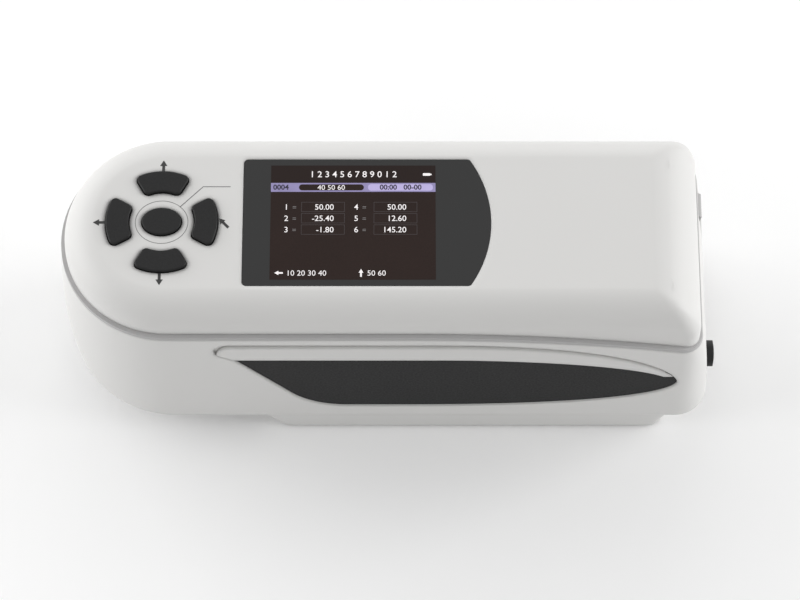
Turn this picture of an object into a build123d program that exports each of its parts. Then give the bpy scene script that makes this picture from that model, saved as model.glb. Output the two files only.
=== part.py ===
from build123d import *
import math
import os

# A hand-held colorimeter, in millimetres. +Z is up and the floor is z = 0. +X runs from the rounded
# keypad end to the squared end with the measuring key, and y = 0 is the middle plane of the housing.
# The sizes and clearances come first, and the places worked out from them follow.

# Overall form
OVERALL_LENGTH = 208.0
OVERALL_HEIGHT = 83.1
HOUSING_WIDTH = 67.4
HOUSING_BASE_Z = 11.2
ROUND_LEAD = 1.7
KEY_STAND_OUT = 1.7
END_BULGE = 1.6
REAR_LEAN_MID = 1.8
REAR_LEAN_TOP = 4.6
MID_RISE = 26.8
LEAN_BELOW_JOINT = 10.7
LOFT_OVER_JOINT = 2.6
REAR_CORNER_BASE_R = 10.5
REAR_CORNER_MID_R = 9.5
REAR_CORNER_TOP_R = 5.5
BASE_EDGE_R = 1.0

# Joint between the two covers
COVER_H = 14.2
JOINT_FALL_RUN = 93.0
JOINT_FALL_R = 372.0
TRIM_H = 1.7
LEDGE = 1.25
LIP_H = 2.0
LIP_T = 1.0
LIP_GAP = 0.1

# Walls
TOP_WALL = 2.4
SIDE_WALL = 2.2
END_WALL = 2.4
FLANK_WALL = 4.2
FLOOR_WALL = 2.5

# Upper cover rounding
SIDE_ROUND_R = 10.6
REAR_ROUND_R = 16.2
REAR_CORNER_R = 4.5
ROUND_SWEEP = 84.0

# Keypad
KEYPAD_SHIFT = 1.65
KEYPAD_MARGIN = 16.4
ARC_INNER_R = 10.2
ARC_HALF_ANGLE = 29.5
ARC_CORNER_R = 1.6
ARC_PROUD = 1.2
MENU_RX = 6.1
MENU_RY = 4.65
MENU_PROUD = 1.0
KEY_GAP = 0.3
KEY_FLANGE = 0.8
KEY_FLANGE_T = 1.0
KEY_TRAVEL = 0.7
KEY_EDGE_R = 0.45
PLUNGER_R = 1.7
RUN_GAP = 0.05
SWITCH_SIDE = 6.0
SWITCH_H = 3.4
PLUNGER_REACH = 1.1

# Window and screen
WINDOW_SETBACK = 23.4
WINDOW_SIDE_L = 70.1
WINDOW_BOW = 6.5
WINDOW_MARGIN_Y = 11.9
WINDOW_CORNER_R = 1.5
WINDOW_T = 1.2
WINDOW_GAP = 0.1
SCREEN_SETBACK = 8.5
SCREEN_LENGTH = 51.0
SCREEN_MARGIN_Y = 2.1
SCREEN_GAP = 0.3
MODULE_T = 2.7
MODULE_FRONT_MARGIN = 3.3
MODULE_REAR_MARGIN = 4.5
MODULE_SIDE_MARGIN = 2.8
GASKET_T = 0.4
FRAME_RIM = 1.2

# Boards
BOARD_T = 1.6
FRONT_BOARD_DEPTH = 8.5
FRONT_BOARD_MARGIN_Y = 7.7
FRONT_BOARD_TAIL = 15.7
MAIN_BOARD_DEPTH = 19.5
MAIN_BOARD_MARGIN_Y = 8.7
BOARD_SPACING = 3.0
MAIN_BOARD_REAR_GAP = 13.8
END_BOARD_SETBACK = 12.3
END_BOARD_MARGIN_Y = 9.7
END_BOARD_LIFT = 1.3
END_BOARD_HEADROOM = 14.9
BOARD_RAIL = 2.0
RAIL_HEADROOM = 10.0
SENSOR_CHIP = 5.0
SENSOR_CHIP_T = 1.2
BOARD_CHIPS = ((-9.0, -6.0, 14.0, 14.0, 1.4), (10.0, 7.0, 10.0, 8.0, 1.0), (12.0, -10.0, 8.0, 12.0, 1.2))

# Grip scoop, as a side view
SCOOP_BELOW_JOINT = 3.7
SCOOP_LIFT = 8.0
SCOOP_NOSE_SETBACK = 18.7
SCOOP_NOSE_R = 4.9
SCOOP_NOSE_END = 215.0
SCOOP_KNEE_SETBACK = 20.1
SCOOP_TIP_GAP = 11.4
SCOOP_TIP_RISE = 18.1
SCOOP_CREST_RUN = 64.9
SCOOP_KEEL_RUN = 54.5
SCOOP_SHOULDER = 13.4
SCOOP_TIP_UPPER = 6.7
SCOOP_TIP_LOWER = 4.3
SCOOP_HAUNCH = 10.9
SCOOP_RAKE = 55.6
SCOOP_HEEL_R = 21.0
SCOOP_DEPTH = 1.2
GRIP_STEP_Z = 11.5
GRIP_NOTCH_GAP = 4.5
GRIP_NOTCH_RISE = 3.9
GRIP_CREST_RUN = 30.0
GRIP_FALL_RUN = 10.4
GRIP_FALL_RISE = 7.8
GRIP_SEAT = 2.4
GRIP_INSET = 0.35
GRIP_BEVEL = 0.4
PEG_R = 1.6
PEG_LENGTH = 1.2
PEG_RISE = 15.8
PEG_FRONT_RUN = 22.5
PEG_MIDDLE_RUN = 12.0
PEG_REAR_GAP = 20.9

# Base shoe
SHOE_BASE_Z = 0.8
SHOE_FRONT_REACH = 29.6
SHOE_FRONT_SLOPE = 6.9
SHOE_REAR_GAP = 10.4
SHOE_REAR_SLOPE = 3.3
SHOE_STEP_Y = 0.7
SHOE_TAPER_Y = 0.5
SHOE_CORNER_R = 5.0
SHOE_WALL = 2.2
SHOE_RIB_T = 1.6
SHOE_RIB_GAP = 3.0
SHOE_RIB_IN = 6.5
FOOT_LENGTH = 15.0
FOOT_WIDTH = 6.0
FOOT_SEAT = 0.5
FOOT_FRONT_GAP = 9.7
FOOT_REAR_GAP = 13.6
FOOT_MARGIN_Y = 6.5

# Measuring optics
CELL_TO_OPTIC = 34.0
SPHERE_LIFT = 12.8
SPHERE_R = 20.0
SPHERE_WALL = 2.0
FLANGE_HALF = 23.0
FLANGE_T = 2.0
FRAME_PLATE_T = 2.5
FRAME_PLATE_HALF = 25.0
OPTIC_SCREW_POS = 19.5
APERTURE_R = 4.0
APERTURE_LIP = 1.0
NOSE_BASE_Z = 0.2
NOSE_BELOW_SPHERE = 20.6
NOSE_R = 12.0
NOSE_FLARE_R = 6.5
NOSE_GAP = 0.15
VIEW_TILT = 8.0
BARREL_R = 6.0
BARREL_WALL = 1.0
BARREL_START = 42.0
BARREL_END = 62.0
COLLAR_WALL = 2.0
COLLAR_END = 50.0
COLLAR_T = 1.5
LENS_T = 3.0
LENS_SEAT = 54.0
LENS_SEAT_W = 0.8
SENSOR_HALF = 8.0
LAMP_TILT = 48.0
LAMP_R = 3.2
LAMP_SLEEVE_R = 4.4
LAMP_REACH = 28.0

# Battery
CELL_R = 9.2
CELL_LENGTH = 65.0
CELL_REAR_GAP = 17.3
CELL_EDGE_R = 1.2
CRADLE_WALL = 1.8
CRADLE_GAP = 0.15
CRADLE_LIFT = 1.5
CONTACT_T = 0.6
END_PLATE_T = 1.8

# Squared end: measuring key, power rocker and data socket
MEASURE_MARGIN_Y = 15.7
MEASURE_LIFT = 14.2
MEASURE_R = 4.2
MEASURE_GAP = 0.08
MEASURE_DOME = 0.5
MEASURE_TRAVEL = 1.2
MEASURE_FLANGE_R = 5.6
MEASURE_FLANGE_GAP = 4.0
MEASURE_SWITCH_T = 3.0
ROCKER_MARGIN_Y = 13.7
ROCKER_BELOW_JOINT = 19.7
ROCKER_PIVOT_GAP = 7.5
ROCKER_R = 7.3
ROCKER_FACE = 4.5
ROCKER_DISH = 1.1
ROCKER_CHEEK_X = 2.0
ROCKER_CHEEK_Z = 7.0
ROCKER_BACK_X = 0.5
ROCKER_BACK_Z = 6.6
ROCKER_BACK_DEPTH = 1.2
ROCKER_LEAN = 8.0
ROCKER_HALF_Y = 4.1
ROCKER_GAP = 0.3
ROCKER_THROW = 12.0
ROCKER_PIN_R = 0.9
ROCKER_EAR_T = 1.4
ROCKER_EAR_HALF_Z = 2.4
ROCKER_EAR_REACH = 1.4
ROCKER_BASE_HALF_Z = 5.0
ROCKER_BASE_GAP = 2.4
SOCKET_Y = 1.0
SOCKET_LIFT = 10.8
SOCKET_WIDTH = 9.0
SOCKET_HEIGHT = 3.3
SOCKET_SHELL = 0.35
SOCKET_GAP = 0.4
SOCKET_BACK_T = 1.0
TONGUE_T = 0.8
TONGUE_MARGIN = 1.4

# Fasteners
SCREW_R = 1.25
SCREW_HEAD_R = 2.3
SCREW_HEAD_T = 1.5
HOLE_GAP = 0.1
HEAD_GAP = 0.3
BOSS_R = 3.2
SCREW_BITE = 5.0
SCREW_TIP_GAP = 0.5
HOUSING_POST_R = 4.0
POST_CAP_T = 3.0
POST_GAP = 0.6
FRONT_POST_SETBACK = 11.4
FRONT_POST_GAP = 3.2
REAR_POST_MARGIN_Y = 7.9
BOARD_SCREW_MARGIN = 4.0
MAIN_SCREW_REAR = 4.5
ROUND_SCREW_MARGIN = 2.6
ROUND_SCREW_ANGLE = 38.2
WINDOW_SCREW_GAP = 1.8
REAR_SCREW_IN = 5.0
REAR_SCREW_MARGIN_Y = 5.5
SHOE_SCREW_GAP = 4.6
SHOE_SCREW_CLEAR = 0.65

# Places along the housing
HALF_WIDTH = HOUSING_WIDTH / 2
FRONT_X = -OVERALL_LENGTH / 2
KEY_FACE_X = OVERALL_LENGTH / 2
ROUND_AXIS_X = FRONT_X + HALF_WIDTH + ROUND_LEAD
REAR_BASE_X = KEY_FACE_X - KEY_STAND_OUT
FRONT_REACH = ROUND_AXIS_X - FRONT_X
UPPER_HALF = HALF_WIDTH - LEDGE
UPPER_REAR_X = REAR_BASE_X - REAR_LEAN_TOP - LEDGE
JOINT_BREAK_X = REAR_BASE_X - JOINT_FALL_RUN
KEYPAD_X = ROUND_AXIS_X - KEYPAD_SHIFT
ARC_OUTER_R = HALF_WIDTH - KEYPAD_MARGIN
KEY_POST_R = (ARC_OUTER_R + ARC_INNER_R) / 2
WINDOW_FRONT_X = ROUND_AXIS_X + WINDOW_SETBACK
WINDOW_CORNER_X = WINDOW_FRONT_X + WINDOW_SIDE_L
WINDOW_APEX_X = WINDOW_CORNER_X + WINDOW_BOW
WINDOW_HALF_Y = HALF_WIDTH - WINDOW_MARGIN_Y
SCREEN_FRONT_X = WINDOW_FRONT_X + SCREEN_SETBACK
SCREEN_REAR_X = SCREEN_FRONT_X + SCREEN_LENGTH
SCREEN_HALF_Y = WINDOW_HALF_Y - SCREEN_MARGIN_Y
FRONT_BOARD_REAR_X = SCREEN_REAR_X + FRONT_BOARD_TAIL
FRONT_BOARD_HALF_Y = HALF_WIDTH - FRONT_BOARD_MARGIN_Y
MAIN_BOARD_FRONT_X = FRONT_BOARD_REAR_X + BOARD_SPACING
MAIN_BOARD_REAR_X = REAR_BASE_X - MAIN_BOARD_REAR_GAP
MAIN_BOARD_MIDDLE_X = (MAIN_BOARD_FRONT_X + MAIN_BOARD_REAR_X) / 2
MAIN_BOARD_HALF_Y = HALF_WIDTH - MAIN_BOARD_MARGIN_Y
END_BOARD_X = REAR_BASE_X - END_BOARD_SETBACK
END_BOARD_FACE_X = END_BOARD_X + BOARD_T
END_BOARD_HALF_Y = HALF_WIDTH - END_BOARD_MARGIN_Y
CELL_REAR_X = REAR_BASE_X - CELL_REAR_GAP
CELL_FRONT_X = CELL_REAR_X - CELL_LENGTH
CRADLE_HALF = CELL_R + CRADLE_GAP + CRADLE_WALL
OPTIC_X = CELL_FRONT_X - CELL_TO_OPTIC
SPHERE_OUTER_R = SPHERE_R + SPHERE_WALL
MEASURE_Y = MEASURE_MARGIN_Y - HALF_WIDTH
MEASURE_FLANGE_X = REAR_BASE_X - MEASURE_FLANGE_GAP
ROCKER_Y = HALF_WIDTH - ROCKER_MARGIN_Y
ROCKER_PIVOT_X = REAR_BASE_X - ROCKER_PIVOT_GAP

# Heights
JOINT_Z = OVERALL_HEIGHT - COVER_H
MID_Z = HOUSING_BASE_Z + MID_RISE
LEAN_TOP_Z = JOINT_Z - LEAN_BELOW_JOINT
LOFT_TOP_Z = JOINT_Z + LOFT_OVER_JOINT
CEILING_Z = OVERALL_HEIGHT - TOP_WALL
FLOOR_Z = HOUSING_BASE_Z + FLOOR_WALL
WINDOW_SEAT_Z = OVERALL_HEIGHT - WINDOW_T
FRONT_BOARD_TOP_Z = OVERALL_HEIGHT - FRONT_BOARD_DEPTH
MAIN_BOARD_TOP_Z = OVERALL_HEIGHT - MAIN_BOARD_DEPTH
END_BOARD_BASE_Z = FLOOR_Z + END_BOARD_LIFT
END_BOARD_TOP_Z = JOINT_Z - END_BOARD_HEADROOM
SPHERE_Z = HOUSING_BASE_Z + SPHERE_LIFT
NOSE_TOP_Z = SPHERE_Z - NOSE_BELOW_SPHERE
FRAME_TOP_Z = SPHERE_Z - FLANGE_T
FRAME_PLATE_Z = FRAME_TOP_Z - FRAME_PLATE_T
KEY_BASE_Z = CEILING_Z - KEY_GAP - KEY_FLANGE_T
MODULE_TOP_Z = CEILING_Z - GASKET_T
MODULE_BASE_Z = MODULE_TOP_Z - MODULE_T
CELL_AXIS_Z = FLOOR_Z + CRADLE_LIFT + CRADLE_GAP + CELL_R
MEASURE_Z = HOUSING_BASE_Z + MEASURE_LIFT
ROCKER_Z = JOINT_Z - ROCKER_BELOW_JOINT
SOCKET_Z = HOUSING_BASE_Z + SOCKET_LIFT

# Grip scoop and shoe
SCOOP_TOP_Z = JOINT_Z - SCOOP_BELOW_JOINT
SCOOP_BASE_Z = HOUSING_BASE_Z + SCOOP_LIFT
SCOOP_NOSE_X = ROUND_AXIS_X + SCOOP_NOSE_SETBACK
SCOOP_KNEE_X = ROUND_AXIS_X + SCOOP_KNEE_SETBACK
SCOOP_TIP_X = REAR_BASE_X - SCOOP_TIP_GAP
SCOOP_TIP_Z = SCOOP_BASE_Z + SCOOP_TIP_RISE
SCOOP_CREST_X = SCOOP_NOSE_X + SCOOP_CREST_RUN
SCOOP_KEEL_X = SCOOP_KNEE_X + SCOOP_KEEL_RUN
GRIP_TOP_Z = SCOOP_TOP_Z - GRIP_STEP_Z
GRIP_NOTCH_X = SCOOP_TIP_X - GRIP_NOTCH_GAP
GRIP_NOTCH_Z = SCOOP_TIP_Z + GRIP_NOTCH_RISE
PEG_Z = SCOOP_BASE_Z + PEG_RISE
PEG_STATIONS = (SCOOP_KNEE_X + PEG_FRONT_RUN, SCOOP_KEEL_X + PEG_MIDDLE_RUN, SCOOP_TIP_X - PEG_REAR_GAP)
SHOE_FRONT_TOP_X = OPTIC_X - SHOE_FRONT_REACH
SHOE_FRONT_BASE_X = SHOE_FRONT_TOP_X + SHOE_FRONT_SLOPE
SHOE_REAR_TOP_X = REAR_BASE_X - SHOE_REAR_GAP
SHOE_REAR_BASE_X = SHOE_REAR_TOP_X - SHOE_REAR_SLOPE
SHOE_HALF_Y = HALF_WIDTH - SHOE_STEP_Y
FOOT_STATIONS_X = (SHOE_FRONT_BASE_X + FOOT_FRONT_GAP, SHOE_REAR_BASE_X - FOOT_REAR_GAP)
FOOT_Y = SHOE_HALF_Y - FOOT_MARGIN_Y
SHOE_RIB_Y = FOOT_Y - SHOE_RIB_IN
ROUND_SCREW_R = FRONT_BOARD_HALF_Y - ROUND_SCREW_MARGIN
ROUND_SCREW_TURN = math.radians(ROUND_SCREW_ANGLE)
FAR = 200.0


def both_sides(x, y):
    """A place and its mirror across the middle plane."""
    return ((x, y), (x, -y))


# Screw places, as plan points
HOUSING_SCREWS = (
    *both_sides(ROUND_AXIS_X - FRONT_POST_SETBACK, ARC_OUTER_R + FRONT_POST_GAP),
    *both_sides(MAIN_BOARD_MIDDLE_X, HALF_WIDTH - REAR_POST_MARGIN_Y),
)
SHOE_SCREWS = (
    *both_sides(OPTIC_X, SPHERE_OUTER_R + BOSS_R),
    *both_sides(SHOE_REAR_BASE_X - SHOE_SCREW_GAP, CRADLE_HALF + BOSS_R + SHOE_SCREW_CLEAR),
)
FRONT_BOARD_SCREWS = (
    *both_sides(ROUND_AXIS_X - ROUND_SCREW_R * math.cos(ROUND_SCREW_TURN), ROUND_SCREW_R * math.sin(ROUND_SCREW_TURN)),
    *both_sides(WINDOW_FRONT_X - WINDOW_SCREW_GAP, FRONT_BOARD_HALF_Y - BOARD_SCREW_MARGIN),
    *both_sides(FRONT_BOARD_REAR_X - REAR_SCREW_IN, FRONT_BOARD_HALF_Y - REAR_SCREW_MARGIN_Y),
)
MAIN_BOARD_SCREWS = (
    *both_sides(MAIN_BOARD_FRONT_X + BOARD_SCREW_MARGIN, MAIN_BOARD_HALF_Y - BOARD_SCREW_MARGIN),
    *both_sides(MAIN_BOARD_REAR_X - MAIN_SCREW_REAR, MAIN_BOARD_HALF_Y - BOARD_SCREW_MARGIN),
)


def joint_drop(x):
    """Height that the joint line has fallen at x."""
    run = max(0.0, x - JOINT_BREAK_X)
    return JOINT_FALL_R - math.sqrt(JOINT_FALL_R**2 - run**2)


def side_profile(face, half_y=FAR):
    """A face drawn in the side view, x along and z up, carried across the housing."""
    return extrude(Plane.XZ * face, amount=half_y, both=True)


def bar(x0, x1, y0, y1, z0, z1):
    """A block between two corners."""
    return Pos((x0 + x1) / 2, (y0 + y1) / 2, (z0 + z1) / 2) * Box(x1 - x0, y1 - y0, z1 - z0)


def rod(x, y, z0, z1, radius):
    """An upright cylinder."""
    return Pos(x, y, (z0 + z1) / 2) * Cylinder(radius, z1 - z0)


def rod_x(x0, x1, y, z, radius):
    """A cylinder along x."""
    return Pos((x0 + x1) / 2, y, z) * Rot(0, 90, 0) * Cylinder(radius, x1 - x0)


def above_joint(rise):
    """Everything above the joint line, raised by rise."""
    level = JOINT_Z + rise
    sweep = math.degrees(math.asin((OVERALL_LENGTH - JOINT_BREAK_X) / JOINT_FALL_R))
    with BuildSketch() as sketch:
        with BuildLine():
            fall = CenterArc((JOINT_BREAK_X, level - JOINT_FALL_R), JOINT_FALL_R, 90, -sweep)
            end = fall @ 1
            Polyline(end, (end.X, FAR), (-FAR, FAR), (-FAR, level), (JOINT_BREAK_X, level))
        make_face()
    return side_profile(sketch.sketch)


def plan_outline(front_reach, rear_x, half_y, corner_r):
    """Plan of the housing: a half-round front end and a squared rear end with rounded corners."""
    corner_x = rear_x - corner_r
    corner_y = half_y - corner_r
    with BuildSketch() as sketch:
        with BuildLine():
            EllipticalCenterArc((ROUND_AXIS_X, 0), front_reach, half_y, start_angle=90, arc_size=180)
            Line((ROUND_AXIS_X, -half_y), (corner_x, -half_y))
            CenterArc((corner_x, -corner_y), corner_r, -90, 90)
            Line((rear_x, -corner_y), (rear_x, corner_y))
            CenterArc((corner_x, corner_y), corner_r, 0, 90)
            Line((corner_x, half_y), (ROUND_AXIS_X, half_y))
        make_face()
    return sketch.sketch


def housing_block(end_inset, side_inset, base_z):
    """The drafted, slightly bulged housing, drawn in by an inset at its ends and its flanks."""
    half_y = HALF_WIDTH - side_inset
    stations = (
        (base_z, END_BULGE, 0.0, REAR_CORNER_BASE_R),
        (MID_Z, 0.0, REAR_LEAN_MID, REAR_CORNER_MID_R),
        (LEAN_TOP_Z, END_BULGE * 0.6, REAR_LEAN_TOP, REAR_CORNER_TOP_R + LEDGE),
        (LOFT_TOP_Z, END_BULGE * 1.1, REAR_LEAN_TOP * 1.6, REAR_CORNER_TOP_R),
    )
    sections = []
    for z, front_in, rear_in, corner_r in stations:
        reach = FRONT_REACH - front_in - end_inset
        radius = max(corner_r - end_inset, 1.0)
        outline = plan_outline(reach, REAR_BASE_X - rear_in - end_inset, half_y, radius)
        sections.append(Pos(0, 0, z) * outline)
    return loft(sections)


def upper_block(inset, top_z):
    """The upper cover's outer form, or its cavity when drawn in by an inset."""
    half = UPPER_HALF - inset
    round_r = SIDE_ROUND_R - inset
    rear_r = REAR_ROUND_R - inset
    rear_x = UPPER_REAR_X - inset
    rise = math.sin(math.radians(ROUND_SWEEP))
    base_z = JOINT_Z - joint_drop(REAR_BASE_X) - TRIM_H
    with BuildSketch() as half_sketch:
        with BuildLine():
            Polyline((0, top_z), (0, base_z), (half, base_z), (half, top_z - round_r * rise))
            side_arc = CenterArc((half - round_r, top_z - round_r * rise), round_r, 0, ROUND_SWEEP)
            Line(side_arc @ 1, (0, top_z))
        make_face()
    half_face = half_sketch.sketch
    front = Pos(ROUND_AXIS_X, 0, 0) * revolve(Plane.XZ * half_face, axis=Axis.Z)
    section = half_face + mirror(half_face, Plane.YZ)
    straight = extrude(Plane.YZ.offset(ROUND_AXIS_X) * section, amount=rear_x - ROUND_AXIS_X)
    with BuildSketch() as side_sketch:
        with BuildLine():
            rear_arc = CenterArc((rear_x - rear_r, top_z - rear_r * rise), rear_r, 0, ROUND_SWEEP)
            Polyline(rear_arc @ 0, (rear_x, base_z), (-FAR, base_z), (-FAR, top_z), rear_arc @ 1)
        make_face()
    block = (front + straight) & side_profile(side_sketch.sketch)
    corner_edges = []
    for edge in block.edges():
        middle = edge.center()
        upright = edge.geom_type == GeomType.LINE and abs(middle.X - rear_x) < 0.01
        upright = upright and abs(abs(middle.Y) - half) < 0.01
        mitre = edge.geom_type != GeomType.LINE
        mitre = mitre and middle.X > rear_x - rear_r + 0.3 and abs(middle.Y) > half - round_r + 0.3
        if upright or mitre:
            corner_edges.append(edge)
    return fillet(corner_edges, max(REAR_CORNER_R - inset, 0.8))


def arc_key_face(angle, grow):
    """Outline of one of the four arc keys, at an angle round the keypad."""
    half_angle = math.radians(ARC_HALF_ANGLE)
    ring = Circle(ARC_OUTER_R + grow) - Circle(ARC_INNER_R - grow)
    reach = ARC_OUTER_R * 3
    side = reach * math.sin(half_angle)
    wedge = Polygon((0, 0), (reach * math.cos(half_angle), -side), (reach * math.cos(half_angle), side), align=None)
    wedge = Pos(-grow / math.sin(half_angle), 0) * wedge
    face = ring & wedge
    face = fillet(face.vertices(), ARC_CORNER_R + grow)
    return Pos(KEYPAD_X, 0) * Rot(0, 0, angle) * face


def menu_key_face(grow):
    """Outline of the oval centre key."""
    return Pos(KEYPAD_X, 0) * Ellipse(MENU_RX + grow, MENU_RY + grow)


ARC_ANGLES = {"right_key": 0, "up_key": 90, "left_key": 180, "down_key": 270}


def key_post_place(name):
    """Where a key's post stands."""
    if name not in ARC_ANGLES:
        return KEYPAD_X, 0.0
    angle = math.radians(ARC_ANGLES[name])
    return KEYPAD_X + KEY_POST_R * math.cos(angle), KEY_POST_R * math.sin(angle)


def key_face(name, grow):
    """Outline of a named key."""
    if name in ARC_ANGLES:
        return arc_key_face(ARC_ANGLES[name], grow)
    return menu_key_face(grow)


KEY_NAMES = ("menu_key", "up_key", "down_key", "left_key", "right_key")


def key_cap(name):
    """A key with a rounded cap, a retaining flange and a post that runs in its switch."""
    proud = ARC_PROUD if name in ARC_ANGLES else MENU_PROUD
    top_z = OVERALL_HEIGHT + proud
    cap = extrude(Pos(0, 0, KEY_BASE_Z) * key_face(name, 0), amount=top_z - KEY_BASE_Z)
    cap = fillet(cap.faces().sort_by(Axis.Z)[-1].edges(), KEY_EDGE_R)
    flange = extrude(Pos(0, 0, KEY_BASE_Z) * key_face(name, KEY_FLANGE), amount=KEY_FLANGE_T)
    x, y = key_post_place(name)
    post = rod(x, y, FRONT_BOARD_TOP_Z + SWITCH_H - PLUNGER_REACH, KEY_BASE_Z + 0.5, PLUNGER_R)
    return cap + flange + post


def key_switches():
    """The five switch bodies on the front board, each with a well for its key's post."""
    bodies = []
    for name in KEY_NAMES:
        x, y = key_post_place(name)
        half = SWITCH_SIDE / 2
        body = bar(x - half, x + half, y - half, y + half, FRONT_BOARD_TOP_Z, FRONT_BOARD_TOP_Z + SWITCH_H)
        well_z = FRONT_BOARD_TOP_Z + SWITCH_H - PLUNGER_REACH - KEY_TRAVEL - KEY_GAP
        bodies.append(body - rod(x, y, well_z, FRONT_BOARD_TOP_Z + SWITCH_H + 1, PLUNGER_R + RUN_GAP))
    return Compound(children=bodies)


def window_face(grow):
    """Outline of the window: square at the front, bowed at the rear."""
    half = WINDOW_HALF_Y + grow
    front_x = WINDOW_FRONT_X - grow
    corner_x = WINDOW_CORNER_X
    with BuildSketch() as sketch:
        with BuildLine():
            Polyline((corner_x, half), (front_x, half), (front_x, -half), (corner_x, -half))
            ThreePointArc((corner_x, -half), (WINDOW_APEX_X + grow, 0), (corner_x, half))
        make_face()
    return fillet(sketch.sketch.vertices(), WINDOW_CORNER_R)


def screen_rect(grow_front, grow_rear, grow_side):
    """The screen's rectangle, grown by its margins."""
    x0 = SCREEN_FRONT_X - grow_front
    x1 = SCREEN_REAR_X + grow_rear
    return Pos((x0 + x1) / 2, 0) * Rectangle(x1 - x0, 2 * (SCREEN_HALF_Y + grow_side))


def screw(x, y, head_z, length):
    """A pan-head screw, head down: its head rests at head_z and its shank goes up."""
    head = rod(x, y, head_z - SCREW_HEAD_T, head_z, SCREW_HEAD_R)
    head = fillet(head.faces().sort_by(Axis.Z)[0].edges(), SCREW_HEAD_T / 2)
    slot = rod(x, y, head_z - SCREW_HEAD_T - 1, head_z - SCREW_HEAD_T / 2, SCREW_HEAD_R / 3)
    return head + rod(x, y, head_z, head_z + length, SCREW_R) - slot


def scoop_face():
    """Side outline of the grip scoop: a round nose, a raked front and a long tapered tip."""
    rake = math.radians(SCOOP_RAKE)
    heel_x = SCOOP_KNEE_X + (GRIP_TOP_Z - SCOOP_BASE_Z) / math.tan(rake)
    tip = (SCOOP_TIP_X, SCOOP_TIP_Z)
    nose_z = SCOOP_TOP_Z - SCOOP_NOSE_R
    lean = math.radians(SCOOP_NOSE_END)
    nose_low = (SCOOP_NOSE_X + SCOOP_NOSE_R * math.cos(lean), nose_z + SCOOP_NOSE_R * math.sin(lean))
    with BuildSketch() as sketch:
        with BuildLine():
            Line((SCOOP_NOSE_X, SCOOP_TOP_Z), (SCOOP_CREST_X, SCOOP_TOP_Z))
            Bezier((SCOOP_CREST_X, SCOOP_TOP_Z), (SCOOP_TIP_X - SCOOP_SHOULDER, SCOOP_TOP_Z),
                   (SCOOP_TIP_X, SCOOP_TIP_Z + SCOOP_TIP_UPPER), tip)
            Bezier(tip, (SCOOP_TIP_X, SCOOP_TIP_Z - SCOOP_TIP_LOWER), (SCOOP_TIP_X - SCOOP_HAUNCH, SCOOP_BASE_Z),
                   (SCOOP_KEEL_X, SCOOP_BASE_Z))
            Polyline((SCOOP_KEEL_X, SCOOP_BASE_Z), (heel_x, SCOOP_BASE_Z), (SCOOP_KNEE_X, GRIP_TOP_Z), nose_low)
            ThreePointArc(nose_low, (SCOOP_NOSE_X - SCOOP_NOSE_R, nose_z), (SCOOP_NOSE_X, SCOOP_TOP_Z))
        make_face()
    face = sketch.sketch
    heel = face.vertices().sort_by_distance((heel_x, SCOOP_BASE_Z))[0]
    face = fillet(heel, SCOOP_HEEL_R)
    knee = face.vertices().sort_by_distance((SCOOP_KNEE_X, GRIP_TOP_Z))[0]
    return fillet(knee, SCOOP_NOSE_R)


def grip_face():
    """The part of the scoop that the grip fills."""
    with BuildSketch() as sketch:
        with BuildLine():
            Bezier((SCOOP_CREST_X, GRIP_TOP_Z), (SCOOP_CREST_X + GRIP_CREST_RUN, GRIP_TOP_Z),
                   (GRIP_NOTCH_X - GRIP_FALL_RUN, GRIP_NOTCH_Z + GRIP_FALL_RISE), (GRIP_NOTCH_X, GRIP_NOTCH_Z))
            Polyline((GRIP_NOTCH_X, GRIP_NOTCH_Z), (GRIP_NOTCH_X, SCOOP_TOP_Z), (FAR, SCOOP_TOP_Z), (FAR, 0),
                     (-FAR, 0), (-FAR, GRIP_TOP_Z), (SCOOP_CREST_X, GRIP_TOP_Z))
        make_face()
    return scoop_face() & sketch.sketch


def flank_cut(face, side, depth):
    """A pocket of a side outline, cut to a depth into one flank."""
    wall_y = side * HALF_WIDTH
    return side_profile(face) & bar(-FAR, FAR, *sorted((wall_y - side * depth, wall_y + side)), 0, FAR)


def grip_anchors(side):
    """The studs behind a grip, moulded into the flank."""
    studs = []
    middle_y = side * (HALF_WIDTH - GRIP_SEAT - PEG_LENGTH / 2)
    for x in PEG_STATIONS:
        studs.append(Pos(x, middle_y, PEG_Z) * Rot(90, 0, 0) * Cylinder(PEG_R, PEG_LENGTH))
    return studs


def grip(side):
    """A grip moulded into its pocket, with bevelled edges and studs."""
    plate = extrude(Plane.XZ * grip_face(), amount=-(GRIP_SEAT - GRIP_INSET))
    plate = chamfer(plate.faces().sort_by(Axis.Y)[-1].edges(), GRIP_BEVEL)
    plate = Pos(0, HALF_WIDTH - GRIP_SEAT, 0) * plate
    if side < 0:
        plate = mirror(plate, Plane.XZ)
    for stud in grip_anchors(side):
        plate = plate + stud
    return plate


def measure_hole():
    """The bore of the measuring key through the rear wall."""
    return rod_x(END_BOARD_FACE_X, KEY_FACE_X + END_WALL, MEASURE_Y, MEASURE_Z, MEASURE_R + MEASURE_GAP)


def rocker_opening():
    """The opening of the power rocker through the rear wall."""
    half_z = ROCKER_R + ROCKER_GAP
    half_y = ROCKER_HALF_Y + ROCKER_GAP
    return bar(ROCKER_PIVOT_X - 1, KEY_FACE_X + END_WALL, ROCKER_Y - half_y, ROCKER_Y + half_y, ROCKER_Z - half_z,
               ROCKER_Z + half_z)


def socket_face(grow):
    """The data socket's mouth, as seen along x."""
    height = SOCKET_HEIGHT + 2 * grow
    return SlotOverall(SOCKET_WIDTH + 2 * grow, height)


def socket_opening():
    """The opening of the data socket through the rear wall."""
    plane = Plane.YZ.offset(END_BOARD_FACE_X + SOCKET_BACK_T)
    return extrude(plane * Pos(SOCKET_Y, SOCKET_Z) * socket_face(SOCKET_GAP), amount=KEY_FACE_X - END_BOARD_FACE_X)


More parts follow.
